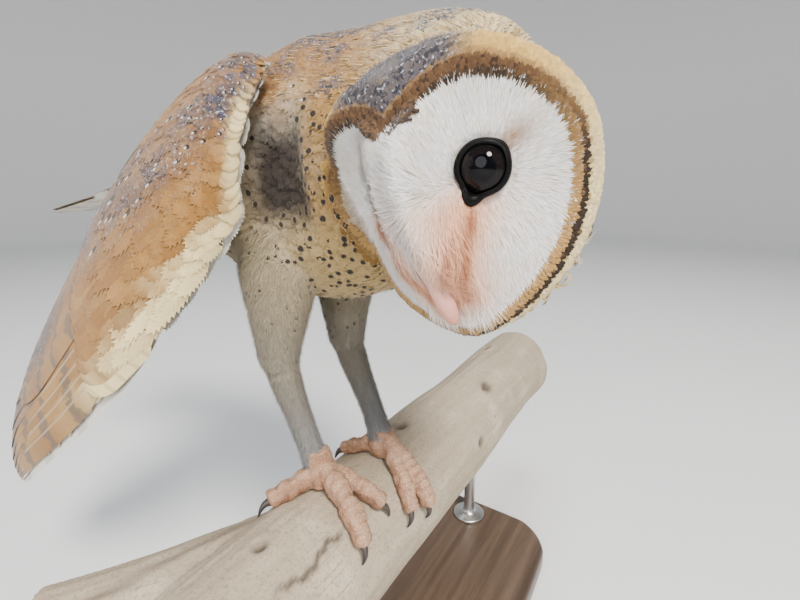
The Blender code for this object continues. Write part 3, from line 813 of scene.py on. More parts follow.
def plumage(name, palette, streak, relief, barbs, shaft=0.0, drop_size=0.30, pearl=0.0):
    """Feather finish: the painted coat colour with three kinds of mark, crossed by barb lines.

    Speckles are noise above a level, in the object's own measures. Bars are a sine of the share of
    the vane's length. The drop is the distance from a middle near the vane's end, below its size.
    Barb lines are a sine of the length less three tenths of the distance from the shaft.
    """
    r = Recipe(name)
    coat = r.attribute("coat")
    spot, speck, bar = r.parts(r.attribute("marks", "Vector"))
    t, s, chance = r.parts(r.attribute("vane", "Vector"))
    wide = s.math("ABSOLUTE")
    where = r.place()
    grain = r.noise(where, 620.0, 3.0, 0.6)
    fleck = grain.step(0.49, 0.56) * speck
    colour = r.mix(fleck * 0.85, coat, palette.speckle_dark)
    pale = r.noise(r.place((1, 1, 1), (0.5, 0.9, 0.2)), 820.0, 2.0, 0.5).step(0.60, 0.67) * speck
    colour = r.mix(pale * 0.7, colour, palette.speckle_pale)
    wander = r.noise(where, 160.0, 2.0) * 0.5
    beat = ((t * 5.2 + chance * 0.12 + wander) * 6.283).math("SINE")
    colour = r.mix(beat.step(0.55, 0.9) * bar * 0.75, colour, palette.bar)
    length = (t - 0.80) * 2.9
    drop = (length * length * 1.7 + s * s * 0.62).math("SQRT") + (wander - 0.25) * 0.4
    colour = r.mix((1.0 - drop.step(drop_size * 0.8, drop_size * 1.2)) * spot, colour, palette.spot)
    if pearl:
        above = (t - 0.87) * 2.9
        bead = (above * above + s * s * 1.1).math("SQRT")
        white = (1.0 - bead.step(drop_size * 0.45, drop_size * 0.7)) * spot
        colour = r.mix(white * pearl, colour, (0.80, 0.80, 0.78))
    line = ((t * barbs - wide * barbs * 0.30) * 6.283).math("SINE")
    clumps = r.noise(where, 340.0, 2.0)
    shade = 1.0 - streak + line * streak * 0.5 + clumps * streak
    colour = r.darken(colour, shade)
    if shaft:
        colour = r.mix((1.0 - wide.step(0.02, 0.09)) * shaft, colour, palette.shaft)
    normal = r.bump(line * 0.5 + clumps, relief, 0.0004)
    return r.finish(
        Base_Color=colour,
        Roughness=0.82,
        Normal=normal,
        Specular_IOR_Level=0.22,
        Sheen_Weight=0.18,
        Sheen_Roughness=0.5,
    )


def skin_finish(palette):
    """Bare skin and the feathers' own ground: painted colour, scutes from a painted run, fine pores."""
    r = Recipe("owl_skin_finish")
    coat = r.attribute("coat")
    _, speck, scute = r.parts(r.attribute("marks", "Vector"))
    where = r.place()
    fleck = r.noise(where, 620.0, 3.0, 0.6).step(0.50, 0.60) * speck
    colour = r.mix(fleck * 0.8, coat, palette.speckle_dark)
    cells = r.node("TexVoronoi", {"feature": "DISTANCE_TO_EDGE"}, {"Vector": where, "Scale": 620.0})
    groove = 1.0 - cells.step(0.02, 0.14)
    colour = r.mix(groove * scute * 0.45, colour, palette.toe_shade)
    blotch = r.noise(where, 150.0, 3.0).step(0.35, 0.7) * scute
    colour = r.mix(blotch * 0.35, colour, palette.toe_pale)
    height = cells.step(0.0, 0.2) * scute + r.noise(where, 1500.0, 2.0) * 0.25
    normal = r.bump(height, 0.5, 0.0004)
    return r.finish(Base_Color=colour, Roughness=0.60, Normal=normal, Specular_IOR_Level=0.25)


def horn(name, base, tip, roughness):
    """Horn of a bill or claw: pale growth bands and a darker end, from the painted run to the tip."""
    r = Recipe(name)
    run = r.parts(r.attribute("vane", "Vector"))[0]
    where = r.place()
    bands = ((run * 9.0 + r.noise(where, 130.0, 2.0) * 1.4) * 6.283).math("SINE")
    colour = r.mix(run.step(0.25, 0.95), base, tip)
    colour = r.mix(bands.step(0.2, 1.0) * 0.12, colour, tip)
    height = bands * 0.3 + r.noise(where, 420.0, 4.0)
    return r.finish(
        Base_Color=colour,
        Roughness=r.noise(where, 300.0, 3.0) * 0.2 + roughness,
        Normal=r.bump(height, 0.18, 0.0003),
    )


def eye_finish():
    """Wet, nearly black eye: the painted iris, smooth and glossy."""
    r = Recipe("owl_eye_finish")
    where = r.place()
    fibres = r.noise(where, 900.0, 3.0)
    colour = r.mix(fibres * 0.35, r.attribute("coat"), (0.002, 0.002, 0.003))
    return r.finish(Base_Color=colour, Roughness=0.05, Specular_IOR_Level=0.15)


def lid_finish():
    """Bare dark skin of the lids, faintly wrinkled."""
    r = Recipe("owl_lid_finish")
    normal = r.bump(r.noise(r.place(), 1200.0, 3.0), 0.4, 0.0002)
    return r.finish(Base_Color=r.attribute("coat"), Roughness=0.5, Normal=normal, Specular_IOR_Level=0.10)


def log_finish(palette):
    """Weathered, peeled wood: grain drawn out along the log, checks, stains and pale wear."""
    r = Recipe("log_wood_finish")
    run = r.attribute("grain", "Vector")
    fine = r.drawn_out(run, 14.0, 520.0, 5.0, 0.6)
    broad = r.drawn_out(run, 9.0, 90.0, 4.0, 0.55)
    stain = r.noise(r.place(), 28.0, 4.0, 0.6)
    colour = r.mix(broad.step(0.3, 0.7), palette.wood_dark, palette.wood)
    colour = r.mix(stain.step(0.5, 0.75) * 0.6, colour, palette.wood_pale)
    lines = fine.step(0.58, 0.72)
    colour = r.mix(lines * 0.14, colour, palette.wood_line)
    grains = r.noise(r.place(), 700.0, 4.0, 0.7)
    patches = r.noise(r.place(), 130.0, 4.0, 0.6)
    colour = r.mix(patches.step(0.48, 0.66) * 0.45, colour, palette.wood_dark)
    colour = r.mix(grains.step(0.52, 0.62) * 0.5, colour, palette.wood_line)
    checks = r.drawn_out(run, 5.0, 150.0, 2.0, 0.4)
    crack = (1.0 - ((checks - 0.5) * 34.0).math("ABSOLUTE").step(0.0, 0.5)) * stain.step(0.58, 0.72)
    colour = r.mix(crack * 0.5, colour, palette.wood_crack)
    # The hollow mark turns knots, the fork and the split near-black: partly the wood's own splits, partly
    # painted shade in these hollows.
    hollow = r.parts(r.attribute("marks", "Vector"))[0]
    colour = r.mix(hollow * 0.8, colour, palette.wood_crack)
    height = fine * 0.2 + broad * 0.3 + patches * 0.6 + grains * 0.6 - crack * 0.8
    return r.finish(
        Base_Color=colour,
        Roughness=r.noise(r.place(), 90.0, 3.0) * 0.25 + 0.68,
        Normal=r.bump(height, 0.6, 0.0012),
        Specular_IOR_Level=0.3,
    )


def base_finish(palette):
    """Dark oiled wood with a straight open grain along its length."""
    r = Recipe("base_wood_finish")
    bent = r.noise(r.place((3.0, 9.0, 9.0)), 2.2, 2.0)
    rings = r.noise(r.place((6.0, 150.0, 150.0)), 1.0, 4.0, 0.6)
    pores = r.noise(r.place((60.0, 1600.0, 1600.0)), 1.0, 2.0).step(0.6, 0.7)
    colour = r.mix((rings + bent * 0.4).step(0.45, 0.95), palette.base_dark, palette.base_light)
    colour = r.mix(pores * 0.5, colour, palette.base_dark)
    return r.finish(
        Base_Color=colour,
        Roughness=rings * 0.12 + 0.34,
        Normal=r.bump(rings * 0.4 - pores * 0.5, 0.15, 0.0004),
        Coat_Weight=0.15,
        Coat_Roughness=0.3,
    )


def steel_finish():
    """Brushed steel rod: fine rings round the rod in roughness and relief."""
    r = Recipe("rod_steel_finish")
    rings = r.noise(r.place((40.0, 40.0, 2600.0)), 1.0, 3.0)
    return r.finish(
        Base_Color=(0.58, 0.58, 0.57),
        Metallic=1.0,
        Roughness=rings * 0.22 + 0.22,
        Normal=r.bump(rings, 0.08, 0.0002),
    )


def floor_finish(palette):
    """Plain pale paper."""
    r = Recipe("floor_finish")
    grain = r.noise(r.place(), 40.0, 3.0)
    colour = r.mix(grain * 0.3, palette.floor, (0.80, 0.81, 0.82))
    return r.finish(Base_Color=colour, Roughness=0.9)


# ---- the skin

SKIN_VOXEL = 1.7
TOE_VOXEL = 0.62
SOCKET_FLOOR = 3.2
SOCKET_SLOPE = 2.2
SOCKET_EDGE = 16.0
SPOT_LIFT = 0.6
BACK_FROM = 0.44
FLANK_FROM = -0.1
NECK_FROM = 0.62
CROWN_FROM = 0.42
WORK = {}  # what one step leaves for the next
REGIONS = ["body", "head", "wing_left", "wing_right", "tail", *LEGS]


def armpit(u, v):
    """Share of the hollow between the neck and each wing's front edge: smooth steps along and round."""
    a = np.sin(FULL_TURN * u)
    return ease(v, 0.478, 0.535) * ease(v, 0.634, 0.596) * ease(a, -0.56, -0.22) * ease(a, 0.50, 0.22)


def region_form(name, inset):
    """Point function and grid size of one region, lying inside the solid by the inset."""
    if name == "body":
        return lambda u, v: tube(BODY, u, v, inset + 6.5 * armpit(u, v)), 150, 150, 1.0
    if name == "head":
        return lambda u, v: on_head(head(u, v)), 170, 130, 1.0
    if name == "tail":
        return lambda u, v: tube(TAIL, u, v, inset * 0.6 + 3.4 * ease(v, 0.0, 0.24)), 60, 50, 0.24
    if name.startswith("wing"):
        return lambda u, v: wing(name[5:], u, v, inset * 0.6), 120, 120, 0.66
    return lambda u, v: tube(table_of(LEGS[name]), u, v, inset * 0.62), 60, 60, 1.0


def grid_normals(points):
    """Outward normals of a closed grid: the cross product of its two directions."""
    du = np.roll(points, -1, axis=1) - np.roll(points, 1, axis=1)
    dv = np.gradient(points, axis=0)
    normal = unit(np.cross(du, dv))
    middle = points.mean(axis=(0, 1))
    flip = np.sign(((points - middle) * normal).sum(-1).mean())
    return normal * flip, du * points.shape[1] / 2, dv


Part = collections.namedtuple("Part", "u v place du dv")


def skin_cloud(sizes):
    """Every region's inset surface as a grid: both parameters, places, and steps along each."""
    parts = []
    for name in REGIONS:
        form, nu, nv, high = region_form(name, sizes.coat_depth / MM)
        u, v = grid(nu, nv, 0.0, high)
        points = form(u, v)
        normals, du, dv = grid_normals(points)
        if name == "head":
            face = ease(v * 3, 1.25, 0.9)
            deep = sizes.coat_depth / MM * (1 - face) + sizes.face_depth / MM * face
            points = points - normals * deep[..., None]
        parts.append(Part(u, v, points, du, dv * (nv - 1) / high))
    return parts


def build_flesh(parts):
    """One closed surface through every region: joined shells, remeshed and eased at their meetings.

    A cone is then pressed in round each eye, so that the eye lies in a socket.
    """
    shells = []
    for part in parts:
        nv, nu = part.u.shape
        thin = part.place[np.linspace(0, nv - 1, min(nv, 75)).astype(int)]
        shells.append((thin, shell_faces(nu, len(thin))))
    flesh = one_solid(raise_shells("owl_skin", shells), SKIN_VOXEL, 5)
    place, _, _ = mesh_rows(flesh.data)
    for side in (1.0, -1.0):
        out, away = round_eye(place, side)
        allowed = SOCKET_FLOOR + SOCKET_SLOPE * np.maximum(away - LID_OUTER, 0)
        press = np.where((out > -2) & (away < SOCKET_EDGE), np.maximum(out - allowed, 0), 0)
        place = place - press[:, None] * eye_frame(side)[1][0]
    set_points(flesh, place)
    return flesh


def rings_round(path, radius, turn, flat=1.0):
    """Rings round a path that lies on the log, square to it; flat narrows them along the log's face."""
    along = unit(np.gradient(path, axis=0))
    out = unit((path - LOG_MIDDLE) * [0, 1, 1])
    steep = np.abs((along * out).sum(-1, keepdims=True)) > 0.9
    across = unit(np.cross(along, np.where(steep, [[1.0, 0, 0]], out)))
    over = unit(np.cross(across, along))
    ring = across[:, None] * (np.cos(turn)[:, None] * flat) + over[:, None] * np.sin(turn)[:, None]
    return path[:, None] + radius[:, None, None] * ring


def foot_tubes(side):
    """Path, radius and run of each toe's tube and of the palm's, from the shank down to the log."""
    tubes = []
    for toe in TOES_NAMED:
        t = np.linspace(0, 1, 34)
        path, radius = toe_path(side, toe, t)
        radius = radius * np.sqrt(np.clip(1 - ((t - 0.90) / 0.105).clip(0, 1) ** 2 * 0.85, 0.02, 1))
        tubes.append((path, radius, np.cumsum(np.linalg.norm(np.gradient(path, axis=0), axis=1))))
    x, turn, rise = FEET[side]
    lift = np.linspace(rise + 6.0, 1.0, 12)
    swell = np.interp(lift, [1.0, 6.5, rise, rise + 6.0], [7.2, 8.2, 6.6, 5.6])
    return [*tubes, (on_log(x, turn, lift), swell, lift)]


def build_feet():
    """Both feet as toe and palm tubes, remeshed finely into two closed surfaces with raised scutes.

    A scute's height is the size of a sine of the run along its toe, to the power of 0.6.
    """
    nu = 28
    turn = FULL_TURN * np.arange(nu) / nu
    shells, runs = [], []
    for path, radius, run in foot_tubes("left") + foot_tubes("right"):
        shells.append((rings_round(path, radius, turn), shell_faces(nu, len(path))))
        runs.append(np.repeat(run, nu))
    feet = one_solid(raise_shells("feet_under_way", shells), TOE_VOXEL, 4)
    place, normal, _ = mesh_rows(feet.data)
    cloud = np.concatenate([shell[0].reshape(-1, 3) for shell in shells])
    run = np.concatenate(runs)[Surface(cloud, cell=1.2).nearest(place)]
    from_axis = (place - LOG_MIDDLE) * [0, 1, 1]
    up = (normal * unit(from_axis)).sum(-1)
    scute = np.abs(np.sin(run * math.pi / 1.9)) ** 0.6 * ease(up, 0.1, 0.7)
    pebble = ripple(place, 2.1, 3) * 0.10 + ripple(place, 6.0, 4) * 0.30
    clear = ease(np.linalg.norm(from_axis, axis=-1) - LOG_RADIUS, 0.3, 1.6)
    set_points(feet, place + normal * ((scute - 0.6) * 0.42 + pebble)[:, None] * clear[:, None])
    return feet, scute, up


def lie_along(line, v):
    """Direction of a line of places at shares v of its length."""
    last = TABLE_ROWS - 1
    return unit(np.gradient(line, axis=0))[np.clip((v * last).astype(int), 0, last)]


def body_fields(u, v, place, palette):
    """Buff breast and pale belly, ochre flanks and neck, white under the wing, golden upper side, and
    painted shade in the hollow before each wing.
    """
    patchy, fine = ripple(place, 26.0, 11), ripple(place, 9.0, 12)
    a = np.sin(FULL_TURN * u)
    sag = ease(-a, -0.2, 0.6) * ease(v, 0.3, 0.6)
    lie = np.array([0, 0, -0.35]) * sag[:, None] - lie_along(BODY[:, :3], v)
    over = ease(a + 0.10 * patchy, 0.36, 0.62)
    flank = bell(a, 0.18, 0.62) * ease(v, 0.600, 0.636)
    flank = np.maximum(flank, bell(a, 0.0, 0.95) * ease(v, 0.655, 0.72))
    coat = blend(palette.breast, palette.belly, ease(v, 0.62, 0.42))
    coat = blend(coat, palette.ochre, np.clip(flank * 1.15, 0, 1) * (0.85 + 0.15 * fine))
    lining = bell(v, 0.560, 0.045) * bell(a, 0.24, 0.40)
    coat = blend(coat, palette.underwing, np.clip(lining * 1.1, 0, 0.85))
    # Painted shade: the hollow before each wing is coloured near-black for the shadow that falls there.
    coat = blend(coat, palette.hollow, armpit(u, v))
    back = blend(palette.gold, palette.gold_light, ease(fine, -0.3, 0.6) * 0.6)
    back = blend(back, palette.nape, ease(v, 0.68, 0.88) * 0.85)
    coat = blend(coat, back, over)
    veil = over * (0.25 + 0.75 * ease(patchy + 0.3 * fine, -0.1, 0.45)) * ease(lining, 0.5, 0.1)
    drops = (1 - over) * (1 - np.clip(lining * 1.5, 0, 1))
    return lie, coat, drops, veil


def face_colours(x, z, fine, place, palette):
    """White disc, warm beside the bill, with a rufous streak from eye to bill, dark round the eyes, and
    painted shade along the crease.
    """
    over_far = ease(-x, 0, 2)
    wide = np.abs(x)
    line_x = 5.4 + 8.6 * ease(z, -24, 2)
    streak = bell(wide, line_x, 1.5) + 0.8 * bell(wide, line_x - 3.6, 1.0) * ease(z, -4, -10)
    streak = np.clip(streak, 0, 1) * ease(z, 2 + 13 * over_far, -3 + 11 * over_far) * ease(z, -33, -22)
    wash = bell(wide, line_x - 1.5, 8.5) * ease(z, 12, 0) * ease(z, -38, -22)
    face = blend(palette.face, palette.face_warm, ease(fine, -0.3, 0.7) * 0.4)
    face = blend(face, palette.peach, np.clip(wash * 0.95, 0, 1))
    face = blend(face, palette.rufous, np.clip(streak * (0.88 + 0.2 * fine), 0, 1))
    ex, ez = wide - EYE_PLACE[0], z - EYE_PLACE[2]
    smudge = bell(ex - 8.6 - 0.4 * ez, 0, 4.4) * bell(ez - 5.4, 0, 3.6) * (1 - over_far)
    face = blend(face, palette.smudge, smudge * 0.85)
    from_eye = np.minimum(round_eye(place, 1.0)[1], round_eye(place, -1.0)[1])
    face = blend(face, palette.lid, bell(from_eye, LID_OUTER, 1.5) * 0.55)
    # Painted shade: the disc is made up to three tenths darker in a narrow strip beside the crease between
    # the lobes.
    return face * (1 - 0.30 * bell(x, -1.4, 1.8) * ease(z, 34, 20) * ease(z, -20, -8))[:, None]


def head_fields(u, v, place, palette):
    """The face, then brown or ochre ruff, cream outside it, grey crown, golden nape and ochre sides."""
    x, _, z = in_head(place).T
    r = v * 3
    patchy, fine = ripple(place, 26.0, 11), ripple(place, 6.0, 13)
    spin = FULL_TURN * u
    angle = folded(spin)
    side = np.where(x >= 0, 1.0, -1.0)
    from_eye = unit(np.stack([x - side * EYE_PLACE[0], x * 0, z - EYE_PLACE[2]], -1))
    from_eye[:, 2] -= 1.3 * bell(x, 0, 13) * ease(z, 10, -14) + 0.4 * ease(z, -8, -26) * bell(x, 0, 18)
    outward = np.stack([np.sin(spin), x * 0, np.cos(spin)], -1)
    rear = blend(outward, np.array([0, 1.0, 0]), ease(r, 1.3, 2.6) * 0.85)
    lie = blend(from_eye, rear, ease(r, 0.96, 1.08)) @ HEAD_TURN.T
    high = ease(angle, 1.75, 0.75)
    reach_top = 1.11 + 0.20 * high
    cream = blend(palette.cream, palette.ochre_pale, ease(angle, 1.7, 0.4) * 0.8)
    cream = blend(cream, palette.ochre, ease(-x, 4, 18) * ease(z, 42, 24) * 0.8)
    cream = blend(cream, palette.gold, bell(r, 1.98, 0.16) * ease(angle, 1.9, 0.8) * 0.55)
    crown = ease(angle + 0.10 * patchy, 0.64, 0.38) * ease(r, reach_top, reach_top + 0.15)
    outer = blend(cream, palette.grey, crown * 0.80)
    far = ease(-np.sin(spin), 0.05, 0.45) * ease(angle, 0.50, 0.90)
    dusky = np.maximum(ease(angle, 1.2, 2.0) * 0.8, far * (0.85 + 0.15 * fine))
    rear = blend(palette.nape, palette.ochre, dusky)
    outer = blend(outer, rear, ease(r + 0.10 * fine, 1.95, 2.35))
    band = blend(palette.rim_side, palette.rim_top, high)
    ruff = blend(band, outer, ease(r - reach_top, -0.06, 0.10))
    coat = blend(face_colours(x, z, fine, place, palette), ruff, ease(r, 0.985, 1.03))
    veil = np.clip(crown + ease(r, 2.02, 2.25) * ease(angle, 2.0, 1.2), 0, 1) * ease(r, 1.3, 1.5)
    veil = veil * (0.45 + 0.55 * ease(patchy + 0.4 * fine, -0.2, 0.4))
    drops = ease(r, 1.7, 1.9) * 0.6 * ease(angle, 1.4, 2.1)
    return lie, coat, drops, veil


def region_fields(name, u, v, place, palette):
    """Lie of the coat, its colour and its marks, drops and veil, for points of one region."""
    if name == "body":
        lie, coat, drops, veil = body_fields(u, v, place, palette)
    elif name == "head":
        lie, coat, drops, veil = head_fields(u, v, place, palette)
    elif name == "tail":
        lie = np.tile([0.0, 1.0, 0.0], (len(v), 1))
        coat = blend(palette.gold, palette.gold_light, ease(ripple(place, 9.0, 12), -0.3, 0.6) * 0.6)
        drops, veil = 0.0, 0.3 + 0.5 * ease(ripple(place, 26.0, 11), 0.0, 0.6)
    elif name.startswith("wing"):
        table = WINGS[name[5:]]
        coat, marks = wing_colours(u, v, place, palette)
        return lie_along((table[:, :3] + table[:, 3:6]) / 2, v), coat, marks
    else:
        thigh = name.startswith("thigh")
        lie = lie_along(table_of(LEGS[name])[:, :3], v)
        top, low = (palette.belly, palette.leg) if thigh else (palette.leg, palette.down)
        coat, drops, veil = blend(top, low, ease(v, 0.1, 0.95)), 0.8 * thigh, 0.0
    marks = np.zeros((len(v), 3))
    marks[:, 0], marks[:, 1] = drops, veil
    return lie, coat, marks


def wing_colours(u, v, place, palette):
    """Golden outer face with a veil of grey, cream along its front and lower edges, and white within."""
    patchy = ripple(place * [1, 0.6, 0.8], 22.0, 21)
    fine = ripple(place, 8.0, 22)
    outer = ease(np.sin(FULL_TURN * u), -0.05, 0.1)
    chord = (1 - np.cos(FULL_TURN * u)) / 2
    coat = blend(palette.gold, palette.gold_light, ease(fine, -0.4, 0.6) * 0.6)
    lower = ease(chord + 0.03 * fine, 0.82, 0.95) * ease(v, 0.62, 0.4)
    front = ease(v + 0.006 * fine, 0.075, 0.025) * ease(chord, 0.12, 0.4)
    edge = np.maximum(lower, front)
    coat = blend(coat, palette.cream, edge)
    coat = blend(np.array(palette.underwing), coat, outer)
    marks = np.zeros((len(place), 3))
    line = bell(chord, 0.34 + 0.10 * np.sin(v * 9.0), 0.17)
    band = line * (0.55 + 0.45 * ease(patchy + 0.4 * fine, -0.4, 0.3))
    band = np.clip(band + bell(v, 0.06, 0.09) * ease(chord, 0.5, 0.2), 0, 1)
    marks[:, 1] = outer * (0.08 + 0.92 * band) * (1 - edge)
    return coat, marks


def read_parts(parts, points):
    """Region and both parameters of points, from the nearest place of the regions' grids.

    Each parameter moves on by the offset from that place along its grid direction, over the
    squared length of that direction.
    """
    number = np.concatenate([np.full(part.u.size, k) for k, part in enumerate(parts)])
    u, v = (np.concatenate([rows.ravel() for rows in column]) for column in list(zip(*parts))[:2])
    place, du, dv = (
        np.concatenate([rows.reshape(-1, 3) for rows in column]) for column in list(zip(*parts))[2:]
    )
    nearest = Surface(place, cell=1.5).nearest(points)
    region, u, v, du, dv = (rows[nearest] for rows in (number, u, v, du, dv))
    off = points - place[nearest]
    u = u + np.clip((off * du).sum(-1) / np.maximum((du**2).sum(-1), 1.0), -0.02, 0.02)
    v = v + np.clip((off * dv).sum(-1) / np.maximum((dv**2).sum(-1), 1.0), -0.02, 0.02)
    return region, u % 1.0, np.clip(v, 0, 1)


def paint_fields(skin, mesh, palette):
    """Gives the skin's points the lie, colours and marks of their regions, eased into each other."""
    lie, coat, marks = (np.zeros_like(skin.points) for _ in range(3))
    for k, name in enumerate(REGIONS):
        mine = skin.region == k
        fields = region_fields(name, skin.u[mine], skin.v[mine], skin.points[mine], palette)
        lie[mine], coat[mine], marks[mine] = fields
    edges = np.empty(len(mesh.edges) * 2, np.int32)
    mesh.edges.foreach_get("vertices", edges)
    edges = edges.reshape(-1, 2)
    body, head_points = (skin.region == REGIONS.index(name) for name in ("body", "head"))
    not_face = ~head_points | (skin.v * 3 > 1.15)
    coat = np.where(not_face[:, None], spread(coat, edges, 5), coat)
    meeting = body & (skin.v > 0.64) | head_points & (skin.v * 3 > 2.0)
    skin.coat = np.where(meeting[:, None], spread(coat, edges, 22), coat)
    skin.lie = unit(spread(unit(lie), edges, 8))
    skin.marks = marks


def build_skin(sizes, palette):
    """Makes the one skin and the feet, with the fields that the coat and the finish are read from."""
    parts = skin_cloud(sizes)
    flesh = build_flesh(parts)
    feet, scute, up = build_feet()
    skin = Surface(*mesh_rows(flesh.data))
    skin.region, skin.u, skin.v = read_parts(parts, skin.points)
    paint_fields(skin, flesh.data, palette)
    foot = Surface(*mesh_rows(feet.data), cell=1.0)
    toe = blend(palette.toe, palette.toe_shade, ease(ripple(foot.points, 7.0, 5), -0.2, 0.9) * 0.5)
    toe = blend(toe, palette.toe_pale, ease(up, 0.2, 0.9) * 0.45)
    foot.coat = blend(toe, palette.toe_shade, (1 - scute) * ease(up, 0.0, 0.6) * 0.5)
    paint(feet.data, "coat", foot.coat)
    paint(feet.data, "marks", np.tile([0.0, 0.0, 1.0], (len(foot.points), 1)))
    WORK.update(skin=skin, feet=foot, flesh=flesh, foot_mesh=feet, spots=[])


def finish_skin(finishes, palette):
    """Paints the skin as the coat over it is painted, its drops included, and joins the feet to it."""
    skin, flesh, feet = WORK["skin"], WORK["flesh"], WORK["foot_mesh"]
    coat = skin.coat
    if WORK["spots"]:
        tips = np.concatenate(WORK["spots"])
        near = Surface(tips, cell=2.0).nearest(skin.points)
        away = np.linalg.norm(tips[near] - skin.points, axis=1)
        coat = blend(coat, np.array(palette.spot), 1 - ease(away, 1.0, 2.2))
    paint(flesh.data, "coat", coat)
    paint(flesh.data, "marks", skin.marks * [0, 1, 0])
    bpy.ops.object.select_all(action="DESELECT")
    feet.select_set(True)
    flesh.select_set(True)
    bpy.context.view_layer.objects.active = flesh
    bpy.ops.object.join()
    return own(flesh, finishes["skin"], "toe_skin", *FLESH)


def spread(rows, edges, times):
    """Averages rows with those of their neighbours along the edges, several times over."""
    count = np.bincount(edges.ravel(), minlength=len(rows))[:, None] + 1.0
    for _ in range(times):
        total = rows.copy()
        for column in range(rows.shape[1]):
            total[:, column] += np.bincount(edges[:, 0], rows[edges[:, 1], column], len(rows))
            total[:, column] += np.bincount(edges[:, 1], rows[edges[:, 0], column], len(rows))
        rows = total / count
    return rows


def scatter(surface, wanted, per_mm2, seed):
    """Random places on the triangles whose corners are all wanted, by area, and their nearest point."""
    corners = surface.triangles[wanted[surface.triangles].all(axis=1)]
    a, b, c = (surface.points[corners[:, k]] for k in range(3))
    area = np.linalg.norm(np.cross(b - a, c - a), axis=1) / 2
    chance = np.random.default_rng(seed)
    count = int(area.sum() * per_mm2)
    pick = chance.choice(len(corners), count, p=area / area.sum())
    s, t = chance.uniform(0, 1, (2, count, 1))
    s, t = np.where(s + t > 1, 1 - s, s), np.where(s + t > 1, 1 - t, t)
    roots = a[pick] + (b[pick] - a[pick]) * s + (c[pick] - a[pick]) * t
    return roots, corners[pick, 0], chance


def patch_of(surface, k, v_range):
    """Each root's place on the unwrap: turn across, run up, its range stretched to fill the square."""
    jitter = np.random.default_rng(len(k)).uniform(-0.004, 0.004, (2, len(k)))
    low, high = v_range
    return np.stack([surface.u[k] + jitter[0], (surface.v[k] + jitter[1] - low) / (high - low)], -1)


def one_each(places, cell):
    """Picks at most one place in each cube of the given size."""
    keys = np.floor(places / cell).astype(int)
    _, first = np.unique(keys, axis=0, return_index=True)
    picked = np.zeros(len(places), bool)
    picked[first] = True
    return picked


def rise_profile(count, rows, low, high, power):
    """Height of a feather from root to tip: a mix of two heights by a power of the share."""
    t = np.linspace(0, 1, rows)[None, :] ** power
    return low * np.ones((count, 1)) * (1 - t) + np.asarray(high).reshape(-1, 1) * t


def coat_piece(
    name, wanted, per_mm2, length, width, height, plan, seed, finish, slot, *, surface=None, rows=5,
    wobble=0.16, root=0.1, camber=0.12, tone=0.05, root_tone=0.93, veil=None, strokes=None,
    stroke_share=0.6, spots=True, spot_cell=8.0, v_range=(0, 1),
):
    """Feathers scattered over part of the skin, each lying along the coat and lifting to its tip.

    Length and height are numbers, or functions of the roots' nearest points. The veil is a second
    colour where the coat has one; strokes are tints drawn by chance and mixed in by their share.
    """
    surface = surface or WORK["skin"]
    roots, k, chance = scatter(surface, wanted, per_mm2, seed)
    count = len(roots)
    sized = (length(k) if callable(length) else length) * chance.uniform(0.8, 1.2, count)
    wide = width * chance.uniform(0.8, 1.2, count)
    heading = surface.lie[k]
    side = np.cross(surface.normals[k], heading)
    heading = unit(heading + side * chance.normal(0, wobble, (count, 1)))
    path, normals, nearest = surface.trail(roots, heading, sized, rows)
    high = (height(k) if callable(height) else height) * chance.uniform(0.65, 1.1, count)
    tip = path[:, -1] + normals[:, -1] * high[:, None]
    marks = surface.marks[nearest].copy()
    marks[..., 1] *= ease(np.linspace(0, 1, rows), 0.15, 0.75) * chance.uniform(0.55, 1.0, (count, 1))
    likely = surface.marks[nearest[:, -1], 0]
    spotted = one_each(tip, spot_cell) & (chance.uniform(0, 1, count) < likely)
    marks[..., 0] = spotted[:, None]
    rise = rise_profile(count, rows, root, high + spotted * SPOT_LIFT, 0.8)
    shade = 1 + chance.normal(0, tone, (count, 1, 1))
    # Painted shade: each feather is darkened towards its root, where others cover it, and made a little
    # lighter at its tip.
    lift = np.linspace(root_tone, 1.03, rows)[None, :, None]
    colour = surface.coat[nearest]
    if veil:
        colour = blend(colour, veil, marks[..., 1] * 0.9)
    if strokes:
        tints = np.array([tuple(tint) for tint in strokes])
        tint = tints[chance.integers(0, len(tints), count)][:, None, :]
        colour = colour * (1 - stroke_share) + tint * stroke_share
    colour = np.clip(colour * shade * lift, 0, 0.98)
    if spotted.any() and spots:
        WORK["spots"].append(path[spotted, -2])
    uv = patch_of(surface, k, v_range)
    piece = lay_feathers(name, path, normals, wide, rise, plan, colour, marks, uv, camber, seed)
    return own(piece, finish, slot)


def hair_piece(name, wanted, per_mm2, length, width, height, seed, finish, slot, **more):
    """Strands instead of feathers, without drops; the rest is as in coat_piece."""
    more = {"rows": 4, "spots": False, "camber": 0.0, "spot_cell": 400.0, **more}
    return coat_piece(name, wanted, per_mm2, length, width, height, hair_plan(), seed, finish, slot, **more)


def is_region(name):
    """Which points of the skin belong to a region."""
    return WORK["skin"].region == REGIONS.index(name)


# ---- the plumage


